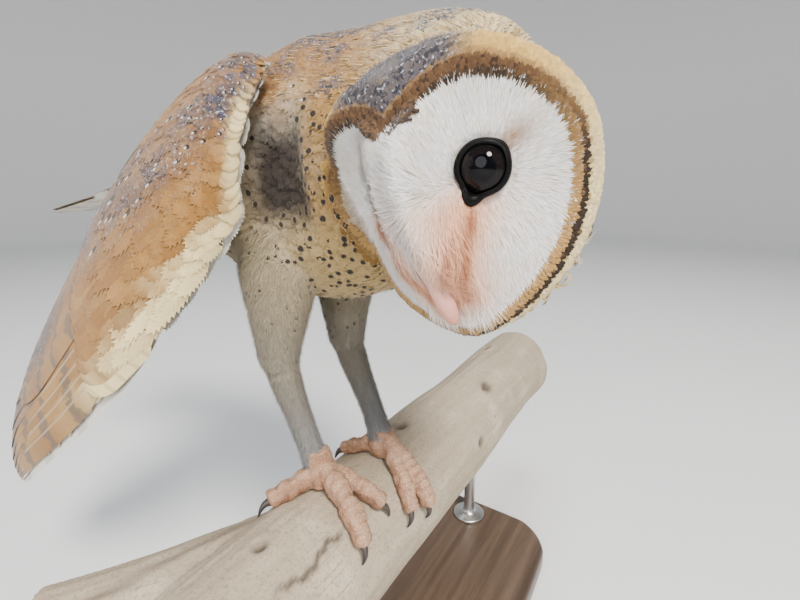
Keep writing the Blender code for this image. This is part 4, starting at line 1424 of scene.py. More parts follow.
def face_hair(side, sizes, finishes):
    """Fine hair-like feathers of one half of the disc, spreading from the eye to rim and crease."""
    skin = WORK["skin"]
    local = in_head(skin.points)
    across = local[:, 0] * side
    _, from_eye = round_eye(skin.points, side)
    notch = bell(across, 0, 9) * ease(local[:, 2], 20, 26)
    wanted = is_region("head") & (skin.v * 3 < 0.955 - 0.08 * notch) & (across > -1.0)
    wanted &= from_eye > LID_OUTER + 0.5
    reach = sizes.face_hair / MM

    def length(k):
        near = ease(from_eye[k], 8, 20)
        edge = ease(skin.v[k] * 3, 0.62, 0.94)
        return reach * (0.36 + 0.64 * near) * (1 - 0.56 * edge)

    def height(k):
        edge = ease(skin.v[k] * 3, 0.80, 0.97)
        crease = bell(across[k], 3.0, 2.6) * ease(local[k, 2], -24, -10) * (1.3 if side > 0 else 0.0)
        brow = bell(from_eye[k], 10.5, 3.0) * ease(across[k], 21, 13) * (side < 0)
        return 0.5 + 0.8 * ease(from_eye[k], 9, 18) + 0.6 * edge + crease + 4.0 * brow

    return hair_piece(
        "face_feathers_" + ("left" if side > 0 else "right"), wanted, 7.6, length, 0.15, height,
        31 + int(side), finishes["face"], "face_feathers",
        wobble=0.14, tone=0.10, root_tone=0.80, root=0.0, v_range=(0, 0.36), spot_cell=8.0,
    )


def ruff_tones(angle, reach, palette, chance):
    """Colours of a ring of the ruff at a distance from the rim.

    Also returns its share of grey crown, the waver of its ends and the distance where it stops.
    """
    count = len(angle)
    fold = folded(angle)
    turned_away = ease(-np.sin(angle), 0.1, 0.4)
    scallop = 0.16 * np.sin(angle * 46.0) + chance.normal(0, 0.09, count)
    wavy = reach + scallop
    dark = ease(wavy, 0.85, 1.15) * ease(wavy, 2.9, 2.5)
    dark = dark * ease(fold, 0.9, 1.5) * (1 - 0.6 * turned_away)
    side = blend(palette.rim_side, palette.rim_dark, dark)
    outside = blend(palette.cream, palette.ochre, turned_away * ease(fold, 0.5, 0.9))
    side = blend(side, outside, ease(wavy, 2.6, 3.1))
    width = 2.6 + 2.4 * ease(fold, 0.85, 0.45)
    top = blend(palette.rim_dark, palette.rim_top, ease(reach + scallop * 2.0, -0.5, 0.3))
    top = blend(top, palette.rim_side, chance.uniform(0, 0.26, count) ** 1.5)
    top = blend(top, palette.rim_dark, (chance.uniform(0, 1, count) < 0.16) * 0.8)
    top = blend(top, palette.rim_side, ease(wavy, width * 0.8, width + 0.6) * 0.85)
    top = blend(top, palette.ochre_pale, ease(wavy, width + 0.8, width + 2.6))
    crown = ease(fold, 0.60, 0.38) * ease(wavy, width - 0.4, width + 1.4)
    top = blend(top, palette.grey, crown * 0.85)
    tone = blend(side, top, ease(fold, 1.70, 0.80)) * (1 + chance.normal(0, 0.10, (count, 1)))
    return tone, crown, scallop, 14.0 - 8.0 * turned_away * ease(fold, 0.4, 0.8)


def ruff_rows(finishes, palette):
    """The stiff ruff: close rings of small scale-like feathers whose ends show by distance from the rim.

    At the sides an ochre ring is edged by a thin dark scalloped one, then all is cream; over the
    top a mottled brown band fades outwards through ochre, or through grey at the crown.
    """
    rings = []
    chance = np.random.default_rng(41)
    steps = np.concatenate([np.arange(-0.9, 4.2, 0.52), np.arange(4.2, 13.0, 0.85)])
    for row, reach in enumerate(steps):
        count = 330 + row * 5
        angle = np.arange(count) + 0.5 * (row % 2) + chance.uniform(-0.25, 0.25, count)
        angle = angle / count * FULL_TURN
        rim, rim_y, crest, crest_y = disc_line(angle)
        band = np.hypot(crest - rim, crest_y - rim_y) * 1.08
        size = 2.3 + 0.09 * row + chance.uniform(-0.25, 0.25, count)
        start = reach + chance.normal(0, 0.07, count) - size
        place = on_head(head(angle / FULL_TURN, (1 + start / np.where(start < 0, rim, band)) / 3))
        tone, crown, scallop, last = ruff_tones(angle, reach, palette, chance)
        back = np.full(count, np.interp(reach, [0, 8], [-0.45, 0.5]))
        outward = np.stack([np.sin(angle), back, np.cos(angle)], -1) @ HEAD_TURN.T
        wide = np.full(count, 0.54 + 0.022 * row)
        marks = np.stack([0 * crown, crown, 0 * crown], -1)
        uv = np.stack([angle / FULL_TURN % 1.0, np.full(count, 0.05 + 0.9 * row / len(steps))], -1)
        kept = reach <= np.minimum(band + 1.5, last) + 4 * scallop
        rings.append([rows[kept] for rows in (place, outward, size, wide, tone, marks, uv)])
    roots, heads, long, wide, tones, marks, uv = (np.concatenate(rows) for rows in zip(*rings))
    path, normals, _ = WORK["skin"].trail(roots, unit(heads), long, 4)
    count = len(roots)
    rise = rise_profile(count, 4, 0.5, 1.9 + chance.uniform(-0.4, 0.4, count), 0.7)
    tones = np.clip(tones, 0, 0.95)[:, None, :] * np.linspace(1.05, 0.88, 4)[None, :, None]
    marks = np.repeat(marks[:, None, :], 4, axis=1)
    plan = barb_plan(2, 0.20, 0.6)
    piece = lay_feathers("ruff_feathers", path, normals, wide, rise, plan, tones, marks, uv, 0.12, 42)
    return own(piece, finishes["ruff"], "neck_feathers")


def head_coat(finishes, palette):
    """Crown and nape in soft feathers under down and strokes; the cream fringe at the ruff's side."""
    skin = WORK["skin"]
    head_points = is_region("head")
    reach = skin.v * 3
    turn = folded(FULL_TURN * skin.u)
    loose = ease(turn, 1.5, 2.0) * bell(reach, 1.75, 0.4)
    back_of_head = {"v_range": (CROWN_FROM, 1)}

    def length(k):
        return 5.6 + 4.0 * loose[k] + 2.0 * ease(reach[k], 2.1, 2.5)

    def height(k):
        return 1.0 + 2.6 * loose[k] * np.random.default_rng(5).uniform(0.4, 1.0, len(k))

    coat_piece(
        "crown_feathers", head_points & (reach > 1.30), 0.80, length, 1.45, height,
        barb_plan(4, 0.2, 0.5), 51, finishes["head"], "neck_feathers",
        wobble=0.15, spot_cell=7.0, tone=0.07, veil=palette.grey, **back_of_head,
    )
    hair_piece(
        "crown_down", head_points & (reach > 1.55), 1.5, 6.5, 0.16, 1.9, 52, finishes["face"],
        "neck_feathers", wobble=0.20, root=0.5, tone=0.16, veil=palette.grey, **back_of_head,
    )
    hair_piece(
        "nape_streaks", head_points & (reach > 2.05) & (turn < 1.7), 1.7, 10.0, 0.24, 1.8, 53,
        finishes["face"], "neck_feathers", rows=5, wobble=0.14, tone=0.12,
        strokes=(palette.nape, palette.cream, palette.gold_light, palette.grey), **back_of_head,
    )
    side = head_points & (reach > 1.22) & (reach < 1.78) & (turn > 1.90) & (turn < 2.80)
    side &= in_head(skin.points)[:, 0] > 0
    spin = FULL_TURN * skin.u
    kept = skin.lie.copy()
    skin.lie = unit(np.stack([np.sin(spin), 0.50 + 0 * spin, np.cos(spin) - 0.35], -1) @ HEAD_TURN.T)
    coat_piece(
        "ruff_fringe", side, 0.75, 9.5, 1.0, lambda k: 3.0 + 3.6 * bell(turn[k], 2.35, 0.35),
        barb_plan(5, 0.36, 0.26), 54, finishes["head"], "neck_feathers",
        wobble=0.34, spots=False, spot_cell=400.0, tone=0.07, camber=0.2, stroke_share=0.45,
        strokes=(palette.cream, palette.face_warm, palette.ochre_pale), **back_of_head,
    )
    skin.lie = kept


def body_coat(finishes, palette, sizes):
    """Neck, breast and flanks in soft feathers under loose down; the mantle in broader ones and strokes."""
    skin = WORK["skin"]
    body = is_region("body")
    turn = np.sin(FULL_TURN * skin.u)
    upper, neck = turn > BACK_FROM, skin.v > NECK_FROM
    lower = body & ~upper
    belly = lower & ~neck
    hollow = armpit(skin.u, skin.v)
    long = sizes.body_feather / MM

    def length(k):
        return long * (0.70 + 0.30 * ease(skin.v[k], 0.85, 0.5)) * (1 - 0.3 * hollow[k])

    for name, wanted, density, seed, slot, cell, v_range in (
        ("neck_feathers", lower & neck, 0.44, 61, "neck_feathers", 6.2, (NECK_FROM, 1)),
        ("breast_feathers", belly & (turn < FLANK_FROM), 0.32, 62, "body_feathers", 8.6, (0, NECK_FROM)),
        ("flank_feathers", belly & (turn >= FLANK_FROM), 0.30, 63, "body_feathers", 8.6, (0, NECK_FROM)),
    ):
        coat_piece(
            name, wanted, density, length, 2.1, 1.9, barb_plan(4, 0.26, 0.34), seed, finishes["body"],
            slot, wobble=0.20, spot_cell=cell, v_range=v_range, tone=0.05,
        )
    hair_piece(
        "body_down", lower, 0.80, long * 0.62, 0.13, 1.9, 66, finishes["face"], "body_feathers",
        wobble=0.32, root=0.4, tone=0.10,
    )
    coat_piece(
        "mantle_feathers", body & upper, 0.26, 13.5, 3.2, 1.6, barb_plan(5, 0.15, 0.66), 64,
        finishes["wing"], "body_feathers",
        wobble=0.12, tone=0.08, camber=0.10, veil=palette.grey, spot_cell=11.0,
    )
    hair_piece(
        "mantle_streaks", body & upper, 0.8, 12.0, 0.26, 1.9, 67, finishes["face"], "body_feathers",
        rows=5, wobble=0.16, tone=0.12,
        strokes=(palette.gold, palette.gold_light, palette.nape, palette.grey),
    )


def leg_coat(finishes):
    """Thighs in soft feathers under loose down, shanks in close short down."""
    for word in ("left", "right"):
        thigh, shank = is_region("thigh_" + word), is_region("shank_" + word)
        coat_piece(
            "thigh_feathers_" + word, thigh, 0.42, 7.5, 1.6, 1.9, barb_plan(4, 0.28, 0.32), 71,
            finishes["body"], "leg_feathers", wobble=0.2, tone=0.06,
        )
        hair_piece(
            "thigh_down_" + word, thigh, 2.6, 6.5, 0.15, 3.0, 72, finishes["face"], "leg_feathers",
            wobble=0.36, root=0.3, tone=0.10,
        )
        hair_piece(
            "shank_down_" + word, shank, 5.2, 5.2, 0.17, 2.6, 73, finishes["face"], "leg_feathers",
            wobble=0.34, spot_cell=8.0, root=0.0, tone=0.09,
        )


def toe_bristles(finishes, palette):
    """Sparse stiff white bristles over the tops of the toes."""
    foot = WORK["feet"]
    out = unit((foot.points - LOG_MIDDLE) * [0, 1, 1])
    up = (foot.normals * out).sum(-1)
    foot.u, foot.v = np.clip((foot.points[:, :2].T + 50) / 90, 0, 1)
    palms = [on_log(*FEET[word][:2], 6.0) for word in ("left", "right")]
    ahead = foot.points - np.where(foot.points[:, :1] > -6, *palms)
    foot.lie = unit(unit(ahead) + out * 0.35)
    foot.coat = np.tile(np.array(palette.bristle), (len(foot.points), 1))
    foot.marks = np.zeros_like(foot.points)
    return hair_piece(
        "toe_bristles", (up > 0.25) & (foot.normals[:, 2] > -0.2), 0.07, 3.0, 0.06, 1.0, 81,
        finishes["face"], "leg_feathers", surface=foot, wobble=0.5, root=0.0,
    )


def bill_bristles(finishes):
    """Longer pale bristles that hang from the crease and lobes over the sides of the bill."""
    skin = WORK["skin"]
    local = in_head(skin.points)
    wanted = is_region("head") & (np.abs(local[:, 0]) < 10.5) & (local[:, 2] < 0) & (local[:, 2] > -29)
    wanted &= skin.v * 3 < 0.85
    kept = skin.lie.copy()
    ahead = np.stack([local[:, 0] * 0.03, np.full(len(local), -0.25), np.full(len(local), -1.0)], -1)
    skin.lie = unit(ahead) @ HEAD_TURN.T
    hair_piece(
        "bill_bristles", wanted, 3.0, 11.5, 0.15, 4.2, 91, finishes["face"], "face_feathers",
        rows=5, wobble=0.22, root=0.0, tone=0.05, v_range=(0, 0.3),
    )
    skin.lie = kept


def turn_of(chord, inner):
    """The wing section's u at a share of the chord, on the outer or the inner face."""
    u = np.arccos(np.clip(1 - 2 * chord, -1, 1)) / FULL_TURN
    return (1 - u) if inner else u


def wing_paths(word, chord, v, inner, rows):
    """Paths and normals of feathers from chord and length shares at their two ends."""
    t = np.linspace(0, 1, rows)[None, :]
    c = chord[0][:, None] * (1 - t) + chord[1][:, None] * t
    w = v[0][:, None] * (1 - t) + v[1][:, None] * t
    path, above, below = (
        wing(word, turn_of(np.clip(c + step, 0, 1), inner), w, FEATHER_INSET) for step in (0, 0.02, -0.02)
    )
    normals = unit(np.cross(above - below, np.gradient(path, axis=1)))
    before, middle, after = WINGS[word][TABLE_ROWS // 2 + np.array([-5, 0, 5])]
    run = (after[:3] - before[:3]) + (after[3:6] - before[3:6])
    face = np.cross(middle[3:6] - middle[:3], run) * OUTWARD[word] * (-1 if inner else 1)
    normals = normals * np.sign((normals * face).sum(-1, keepdims=True))
    return path, normals, c, w


def wing_piece(
    name, word, chord, v, width, height, plan, palette, finish, seed, *, inner=False, rows=12,
    root_tone=0.80, share=0.5, drop=0.0, bars=0.0,
):
    """A group of wing feathers laid between given shares of the chord and of the length."""
    path, normals, c, w = wing_paths(word, chord, v, inner, rows)
    count = len(path)
    u = turn_of(c, inner).ravel()
    coat, marks = wing_colours(u, w.ravel(), path.reshape(-1, 3), palette)
    coat, marks = coat.reshape(count, rows, 3), marks.reshape(count, rows, 3)
    chance = np.random.default_rng(seed)
    t = np.linspace(0, 1, rows)
    veil = marks[..., 1] * ease(t, 0.25, 0.8) * chance.uniform(0.5, 1.0, (count, 1))
    coat = blend(coat, palette.grey, veil * 0.92)
    marks[..., 1] = veil
    coat = coat * (1 + chance.normal(0, 0.07, (count, 1, 1)))
    # Painted shade: each feather is darkened towards its root, where others cover it, and made a little
    # lighter at its tip.
    coat = coat * (root_tone * (1 - t) + 1.05 * t)[:, None]
    spotted = (chance.uniform(0, 1, (count, 1)) < share) * ease(veil[:, -2:-1], 0.15, 0.35)
    marks[..., 0] = drop * spotted
    marks[..., 2] = bars
    rise = rise_profile(count, rows, *height, 0.6)
    uv = np.clip(np.stack([c[:, 0], w[:, 0] * 1.3], -1), 0, 1)
    width = width * np.ones(count)
    coat = np.clip(coat, 0, 0.95)
    piece = lay_feathers(name + "_" + word, path, normals, width, rise, plan, coat, marks, uv, 0.10, seed)
    return own(piece, finish, "wing_feathers")


def lesser_coverts(word, finishes, palette, chance):
    """Rows of small feathers from the wing's front edge, longer and broader row by row."""
    shares, starts, ends, wide, tall = [], [], [], [], []
    for row, row_start in enumerate(COVERT_ROWS):
        count = 30 + row
        share = (np.arange(count) + 0.5 * (row % 2) + chance.uniform(-0.42, 0.42, count)) / count
        start = row_start + chance.uniform(-0.017, 0.017, count)
        shares.append(np.clip(share, 0.01, 0.99))
        starts.append(start)
        ends.append(start + (0.055 + 0.0075 * row) * chance.uniform(0.9, 1.1, count))
        wide.append((2.5 + 0.22 * row) * chance.uniform(0.75, 1.2, count))
        tall.append(1.9 + chance.uniform(-0.3, 0.3, count))
    share, start, end, wide, tall = (np.concatenate(rows) for rows in (shares, starts, ends, wide, tall))
    return wing_piece(
        "lesser_coverts", word, (share, share * 0.98 + 0.01), (start, end), wide, (0.2, tall),
        barb_plan(9, 0.16, 0.62), palette, finishes["wing"], 103, rows=6, drop=1.0, share=0.5,
    )


def wing_coat(word, finishes, palette):
    """One wing: rows of coverts, then secondaries over primaries, and the pale set beneath."""
    chance = np.random.default_rng(101 if word == "left" else 102)
    lesser_coverts(word, finishes, palette, chance)
    count = 19
    share = (np.arange(count) + 0.4) / count
    ends = 0.445 + 0.02 * share + chance.uniform(-0.006, 0.006, count)
    wing_piece(
        "greater_coverts", word, (share, share * 0.97 + 0.01), (0.30 + 0.015 * share, ends), 7.6,
        (0.4, 2.6 - 0.5 * share), vane_plan(14, 7, 0.35), palette, finishes["wing"], 104,
        drop=1.0, share=0.35, bars=0.35,
    )
    count = 11
    share = np.linspace(0.03, 0.60, count)
    ends = 0.64 + 0.085 * share / 0.6 + chance.uniform(-0.006, 0.006, count)
    wing_piece(
        "secondaries", word, (share, share * 0.86 + 0.05), (np.full(count, 0.36), ends), 10.0,
        (0.3, 2.1 - 1.4 * share), vane_plan(22, 9, 0.3), palette, finishes["flight"], 105,
        bars=1.0, root_tone=0.95,
    )
    rank = np.linspace(0, 1, 10)
    ends = 0.70 + 0.29 * np.sin(rank * 1.9) ** 1.1 / math.sin(1.9) ** 1.1 * 0.94
    wing_piece(
        "primaries", word, (0.42 + 0.50 * rank, 0.24 + 0.58 * rank), (0.40 + 0.02 * rank, ends),
        11.0 - 2.2 * rank, (0.1, 0.9 - 0.7 * rank), vane_plan(26, 9, 0.22), palette,
        finishes["flight"], 106, bars=1.0, root_tone=0.95,
    )
    rank = np.linspace(0, 1, 16)
    wing_piece(
        "under_flight", word, (0.10 + 0.84 * rank, 0.16 + 0.70 * rank),
        (np.full(16, 0.30), 0.62 + 0.36 * rank**0.8), 10.0, (0.1, 0.4 + 0.5 * rank),
        vane_plan(22, 7, 0.25), palette, finishes["wing"], 107, inner=True, bars=0.35, root_tone=1.0,
    )
    count = 520
    share, start = chance.uniform(0.02, 0.98, count), chance.uniform(0.0, 0.40, count)
    wing_piece(
        "under_coverts", word, (share, share), (start, start + 0.07), 3.8,
        (0.2, 1.8 + chance.uniform(-0.4, 0.4, count)), barb_plan(7, 0.14, 0.7), palette,
        finishes["wing"], 108, rows=6, inner=True, drop=1.0, share=0.12,
    )


def tail_levels(y):
    """Half width, thickness and middle height of the tail at places along it."""
    return (np.interp(y, TAIL[:, 1], TAIL[:, column]) for column in (3, 4, 2))


def tail_coat(finishes, palette):
    """Twelve tail feathers fanned over each other, the middle pair on top, and a paler set beneath.

    Rows of coverts lie over and under their roots.
    """
    rank = np.linspace(-1, 1, 12)
    t = np.linspace(0, 1, 14)[None, :]
    out = rank[:, None]
    y = 150.0 + (93.5 - 3.5 * np.abs(out)) * t
    half, thick, middle = tail_levels(y)
    x = out * half * 0.70 * (0.55 + 0.45 * t)
    lift = (thick - 0.8) * (0.2 + 0.5 * (1 - np.abs(out)))
    top = np.stack([x, y, middle + lift - 0.2 - 0.03 * np.abs(x)], -1)
    normals = 0 * top + [0, 0.18, 1.0]
    veil = ease(t + 0 * out, 0.35, 0.95) * 0.75
    coat = blend(palette.gold, palette.grey, veil * 0.8)
    coat = blend(coat, palette.cream, ease(np.abs(out) + 0 * t, 0.7, 1.0) * 0.5)
    marks = np.stack([0 * veil, veil, 1 + 0 * veil], -1)
    uv = np.stack([0.1 + 0.8 * (rank + 1) / 2, np.full(12, 0.5)], -1)
    pale = blend(coat, palette.underwing, 0.85 + 0 * veil)
    rise = (1 - np.abs(out)) * 1.7 * 0.25 + 0 * t
    for name, drop, tone, share in (
        ("tail_feathers", 0.0, coat, 1.0),
        ("tail_feathers_under", 1.6, pale, 0.4),
    ):
        piece = lay_feathers(
            name, top - normals * drop, unit(normals), np.full(12, 8.2), rise, vane_plan(20, 9, 0.16),
            tone, marks * share, uv, 0.05, 111,
        )
        own(piece, finishes["flight"], "tail_feathers")
    tail_coverts(finishes, palette)


def tail_coverts(finishes, palette):
    """Five rows of nine small feathers over the roots of the tail feathers, and as many under them."""
    chance = np.random.default_rng(112)
    rows, columns = 5, 9
    count = rows * columns
    row = np.repeat(np.arange(rows), columns)[:, None]
    out = np.tile(np.linspace(-0.95, 0.95, columns), rows)[:, None]
    out = out + chance.uniform(-0.07, 0.07, (count, 1))
    t = np.linspace(0, 1, 7)[None, :]
    y = 131.0 + 7.0 * row + chance.uniform(-2.0, 2.0, (count, 1)) + 25.0 * t
    half, thick, middle = tail_levels(y)
    flat = 0 * y
    uv = np.stack([0.05 + 0.9 * (out[:, 0] + 1.1) / 2.2, 0.05 + 0.9 * row[:, 0] / 4], -1)
    for name, way, ground in (
        ("tail_coverts", 1.0, palette.gold),
        ("tail_coverts_under", -1.0, palette.underwing),
    ):
        lift = (thick - 0.8) * (0.2 + 0.5 * (1 - np.abs(out))) + 0.7 + 0.22 * (4 - row)
        path = np.stack([out * half * 0.80, y, middle + way * lift - 0.03 * np.abs(out * half)], -1)
        face = unit(np.stack([0.30 * out + flat, 0.18 * way + flat, way + flat], -1))
        veil = chance.uniform(0, 0.8, (count, 1)) * ease(t, 0.3, 0.9) * (way > 0)
        tone = blend(ground, palette.grey, veil * 0.8) * (1 + chance.normal(0, 0.06, (count, 1, 1)))
        piece = lay_feathers(
            name, path, face, np.full(count, 5.4), 0.3 + 0.2 * t + 0 * out, barb_plan(9, 0.12, 0.7),
            np.clip(tone, 0, 0.95), np.stack([flat, veil, flat], -1), uv, 0.12, 113,
        )
        own(piece, finishes["wing"], "tail_feathers")


# ---- eyes, bill and claws


def build_eyes(finishes):
    """Each eye: a ball whose front stands out a little as the cornea, with pupil and iris painted."""
    for side, word in ((1.0, "left"), (-1.0, "right")):
        centre, turned = eye_frame(side)
        u, v = grid(72, 56, 0.003, 0.997)
        fall = v * math.pi
        radius = EYE_RADIUS * (1 + 0.035 * bell(fall, 0, 0.62)) - 0.05
        turn = FULL_TURN * u
        local = np.stack([np.cos(fall), np.sin(fall) * np.cos(turn), np.sin(fall) * np.sin(turn)], -1)
        place = centre + (local * radius[..., None]) @ turned
        ball = face_outwards(raise_mesh("eyeball_" + word, place, shell_faces(72, 56)))
        from_pupil = ease(fall, PUPIL_EDGE, PUPIL_EDGE + 0.05)
        iris = blend((0.001, 0.001, 0.002), (0.007, 0.005, 0.005), from_pupil)
        iris = blend(iris, (0.003, 0.003, 0.003), ease(fall, IRIS_EDGE, IRIS_EDGE + 0.14))
        paint(ball.data, "coat", iris.reshape(-1, 3))
        own(ball, finishes["eye"], "eye", "eye_" + word)


def build_lids(finishes, palette):
    """Both lids: a soft dark rim round each eye, drawn out to a drop at the inner corner.

    The inner part rests on the ball; the outer part takes the height of the skin below it.
    """
    skin = WORK["skin"]
    shells, colours = [], []
    nu, nk = 96, 13
    for side in (1.0, -1.0):
        centre, turned = eye_frame(side)
        u, k = grid(nu, nk)
        turn = FULL_TURN * u
        local = (skin.points - centre) @ turned.T
        near = local[(np.hypot(local[:, 1], local[:, 2]) < 14) & (local[:, 0] > -2)]
        sign = np.sign(turned[1] @ HEAD_TURN[:, 0]) * side
        inner_way = math.radians(232.0) if sign > 0 else math.radians(308.0)
        outer_way = math.radians(30.0) if sign > 0 else math.radians(150.0)
        drop = bell(folded(turn - inner_way), 0, 0.30)
        point = bell(folded(turn - outer_way), 0, 0.40)
        inner = LID_INNER + 0.7 * drop + 0.4 * point
        outer = LID_OUTER - (0.0 if side > 0 else 0.5) + 3.6 * drop + 0.9 * point
        rho = inner + (outer - inner) * k
        across, rise = rho * np.cos(turn), rho * np.sin(turn)
        away = (near[:, 1] - across.reshape(-1, 1)) ** 2 + (near[:, 2] - rise.reshape(-1, 1)) ** 2
        ground = np.where(away < 1.4, near[:, 0], -9).max(axis=1).reshape(across.shape)
        ball = np.sqrt(np.maximum((EYE_RADIUS + 0.3) ** 2 - rho**2, 4.0))
        out = np.maximum(ball, ground + 0.30) + 0.50 * np.sin(math.pi * np.clip(k, 0, 1)) ** 0.8
        out = out - 0.10 * np.cos(k * 19) * k - 1.1 * ease(k, 0.8, 1.0)
        for _ in range(3):
            out = (out + np.roll(out, 1, axis=1) + np.roll(out, -1, axis=1)) / 3
        quads = [face if side * sign > 0 else face[::-1] for face in shell_faces(nu, nk)[:-2]]
        shells.append((centre + np.stack([out, across, rise], -1) @ turned, quads))
        colours.append(blend(palette.lid_edge, palette.lid, ease(k, 0.45, 1.0)).reshape(-1, 3))
    lids = raise_shells("eyelids", shells)
    colours = np.concatenate(colours)
    paint(lids.data, "coat", colours)
    paint(lids.data, "marks", 0 * colours)
    thick = lids.modifiers.new("thickness", "SOLIDIFY")
    thick.thickness = 0.0005
    thick.offset = -1.0
    settle(lids)
    return own(lids, finishes["lid"], "toe_skin")


# Stations of each half in the head's measures: middle, half width, upper and lower reach.
UPPER_BILL = (
    (0, -19.2, -8, 3.9, 4.2, 4.2),
    (0, -23.9, -13, 4.1, 4.4, 4.4),
    (0, -25.1, -19.5, 3.8, 3.9, 3.9),
    (0, -24.7, -25.5, 3.3, 3.1, 3.1),
    (0, -23.8, -29.8, 2.6, 2.3, 2.3),
    (0, -23.1, -32, 1.7, 1.5, 1.5),
    (0, -22.8, -33.2, 0.35, 0.3, 0.3),
)
LOWER_BILL = (
    (0, -14.5, -21.5, 3.1, 1.9, 1.9),
    (0, -18.3, -26, 2.5, 1.6, 1.6),
    (0, -20.3, -29.5, 0.9, 0.7, 0.7),
)


def build_bill(finishes):
    """Both halves as hooked tubes; the upper one narrows to a ridge and carries the nostril hollows."""
    for node, stations in (("bill_upper", UPPER_BILL), ("bill_lower", LOWER_BILL)):
        u, v = grid(40, 44)
        point = tube(table_of(stations), u, v)
        if node == "bill_upper":
            middle = tube(table_of(stations), u * 0, v)
            point[..., 0] *= 1 - 0.22 * ease((middle - point)[..., 1], 0.0, 3.0)
            hollow = bell(v, 0.40, 0.07) * bell(np.abs(point[..., 0]), 3.0, 0.9)
            point[..., 0] -= np.sign(point[..., 0]) * hollow * 0.7
        shell = face_outwards(raise_mesh(node + "_horn", on_head(point), shell_faces(40, 44)))
        paint(shell.data, "vane", np.stack([v, u, 0 * v], -1).reshape(-1, 3))
        own(shell, finishes["bill"], "bill", node)


def build_claws(finishes):
    """Eight hooked claws: tubes that shrink to a point as they curve down onto the log.

    The fall is the share of the run to the power of 1.8; the radius is the rest of it to 0.75.
    """
    shells, runs, nodes = [], [], []
    nu, nv = 16, 22
    turn = FULL_TURN * np.arange(nu) / nu
    t = np.linspace(0, 1, nv)
    reach = LOG_RADIUS + TOE_RADIUS
    for side, toe in itertools.product(FEET, TOES_NAMED):
        x0, turn0, _ = FEET[side]
        x1, turn1, width = TOES[side][toe]
        sign = 1.0 if turn1 > turn0 else -1.0
        lead = (x1 - x0) / (abs(turn1 - turn0) * reach)
        run = 8.4 * (t - 0.18) / math.sqrt(1 + lead * lead)
        high = TOE_RADIUS * width * 0.72
        lift = high + 0.9 * np.sin(t * math.pi) - (high - 0.5) * t**1.8
        path = on_log(x1 + run * lead, turn1 + sign * run / reach, lift)
        shells.append((rings_round(path, 2.1 * (1 - t) ** 0.75 + 0.12, turn, 0.82), shell_faces(nu, nv)))
        runs.append(np.stack([np.repeat(t, nu), np.tile(turn, nv), np.zeros(nu * nv)], -1))
        nodes.append("claw_" + toe + "_" + side)
    claws = face_outwards(raise_shells("claws", shells))
    paint(claws.data, "vane", np.concatenate(runs))
    return own(claws, finishes["claw"], "claw", *nodes)


# ---- log and stand

LOG_NEAR = -128.0
LOG_FAR = 274.7
LIMB_LENGTH = 111.6
LIMB_ANGLE = math.radians(33.0)
LIMB_ROOT = np.array([-34.0, LOG_AXIS_Y + 1.0, -LOG_RADIUS - 1.0])
LIMB_LEAD = np.array([-math.cos(LIMB_ANGLE), math.sin(LIMB_ANGLE), -0.04])
LIMB_SIDE = np.array([math.sin(LIMB_ANGLE), math.cos(LIMB_ANGLE), 0.0])
# Place along the log, turn from its top, and size.
KNOTS = ((-68.5, 0.0, 3.6), (44.0, -0.10, 5.0), (132.0, 0.55, 6.5), (205.0, -0.4, 5.0), (88.0, 1.3, 4.2))
# The edge's insets and heights; the rods' radii and heights above their foot and below their top.
BASE_HALF = np.array([125.0, 105.0])
BASE_MIDDLE = np.array([45.0, 30.0])
BASE_CORNER = 40.0
BASE_EDGE = (
    (60.0, 0.0), (2.0, 0.0), (0.6, 0.25), (0.0, 1.0), (0.0, 11.0),
    (0.4, 12.3), (1.2, 13.4), (2.4, 13.9), (4.0, 14.0), (60.0, 14.0),
)
ROD_PLACES = (-52.0, 150.0)
ROD_FOOT = (
    (0.3, 0.0), (12.6, 0.0), (13.0, 0.5), (13.0, 1.7), (12.4, 2.3),
    (8.0, 3.0), (5.6, 4.2), (4.6, 6.6), (4.5, 8.0),
)
ROD_TOP = ((4.5, -16.0), (4.6, -14.5), (5.4, -12.0), (8.4, -9.0), (9.9, -7.2), (10.0, -5.0))


def log_shells():
    """The log as a tube with a rounded far end, and the stump of its limb as a second one.

    The log's radius has two long waves that run round it; the limb's swells in one.
    """
    nu, nv, steps = 120, 150, 60
    u, k = grid(nu, nv)
    turn = FULL_TURN * u
    along = LOG_NEAR + (LOG_FAR - LOG_NEAR) * np.sin(k * math.pi / 2) ** 0.9
    end = np.clip((along - 250.0) / 26.0, 0, 1)
    rounding = np.sqrt(np.maximum(1 - (end * 0.985) ** 2.6, 0.0))
    wave = 0.8 * np.sin(along * 0.021 + 2 * turn) + 0.6 * np.sin(along * 0.043 - 3 * turn + 1.0)
    radius = (LOG_RADIUS - 0.5 + wave * (1 - bell(along, 0, 60.0))) * rounding
    trunk = LOG_MIDDLE + np.stack([along, radius * np.cos(turn), radius * np.sin(turn)], -1)
    run = np.linspace(0, LIMB_LENGTH, steps)[:, None]
    radius = (26.7 + 0.7 * np.sin(run * 0.06))[..., None]
    ring = FULL_TURN * np.arange(nu)[None, :, None] / nu
    across = LIMB_SIDE * np.cos(ring) + np.array([0, 0, 1.0]) * np.sin(ring)
    limb = (LIMB_ROOT + run * LIMB_LEAD)[:, None] + radius * across
    return [(trunk, shell_faces(nu, nv)), (limb, shell_faces(nu, steps))]


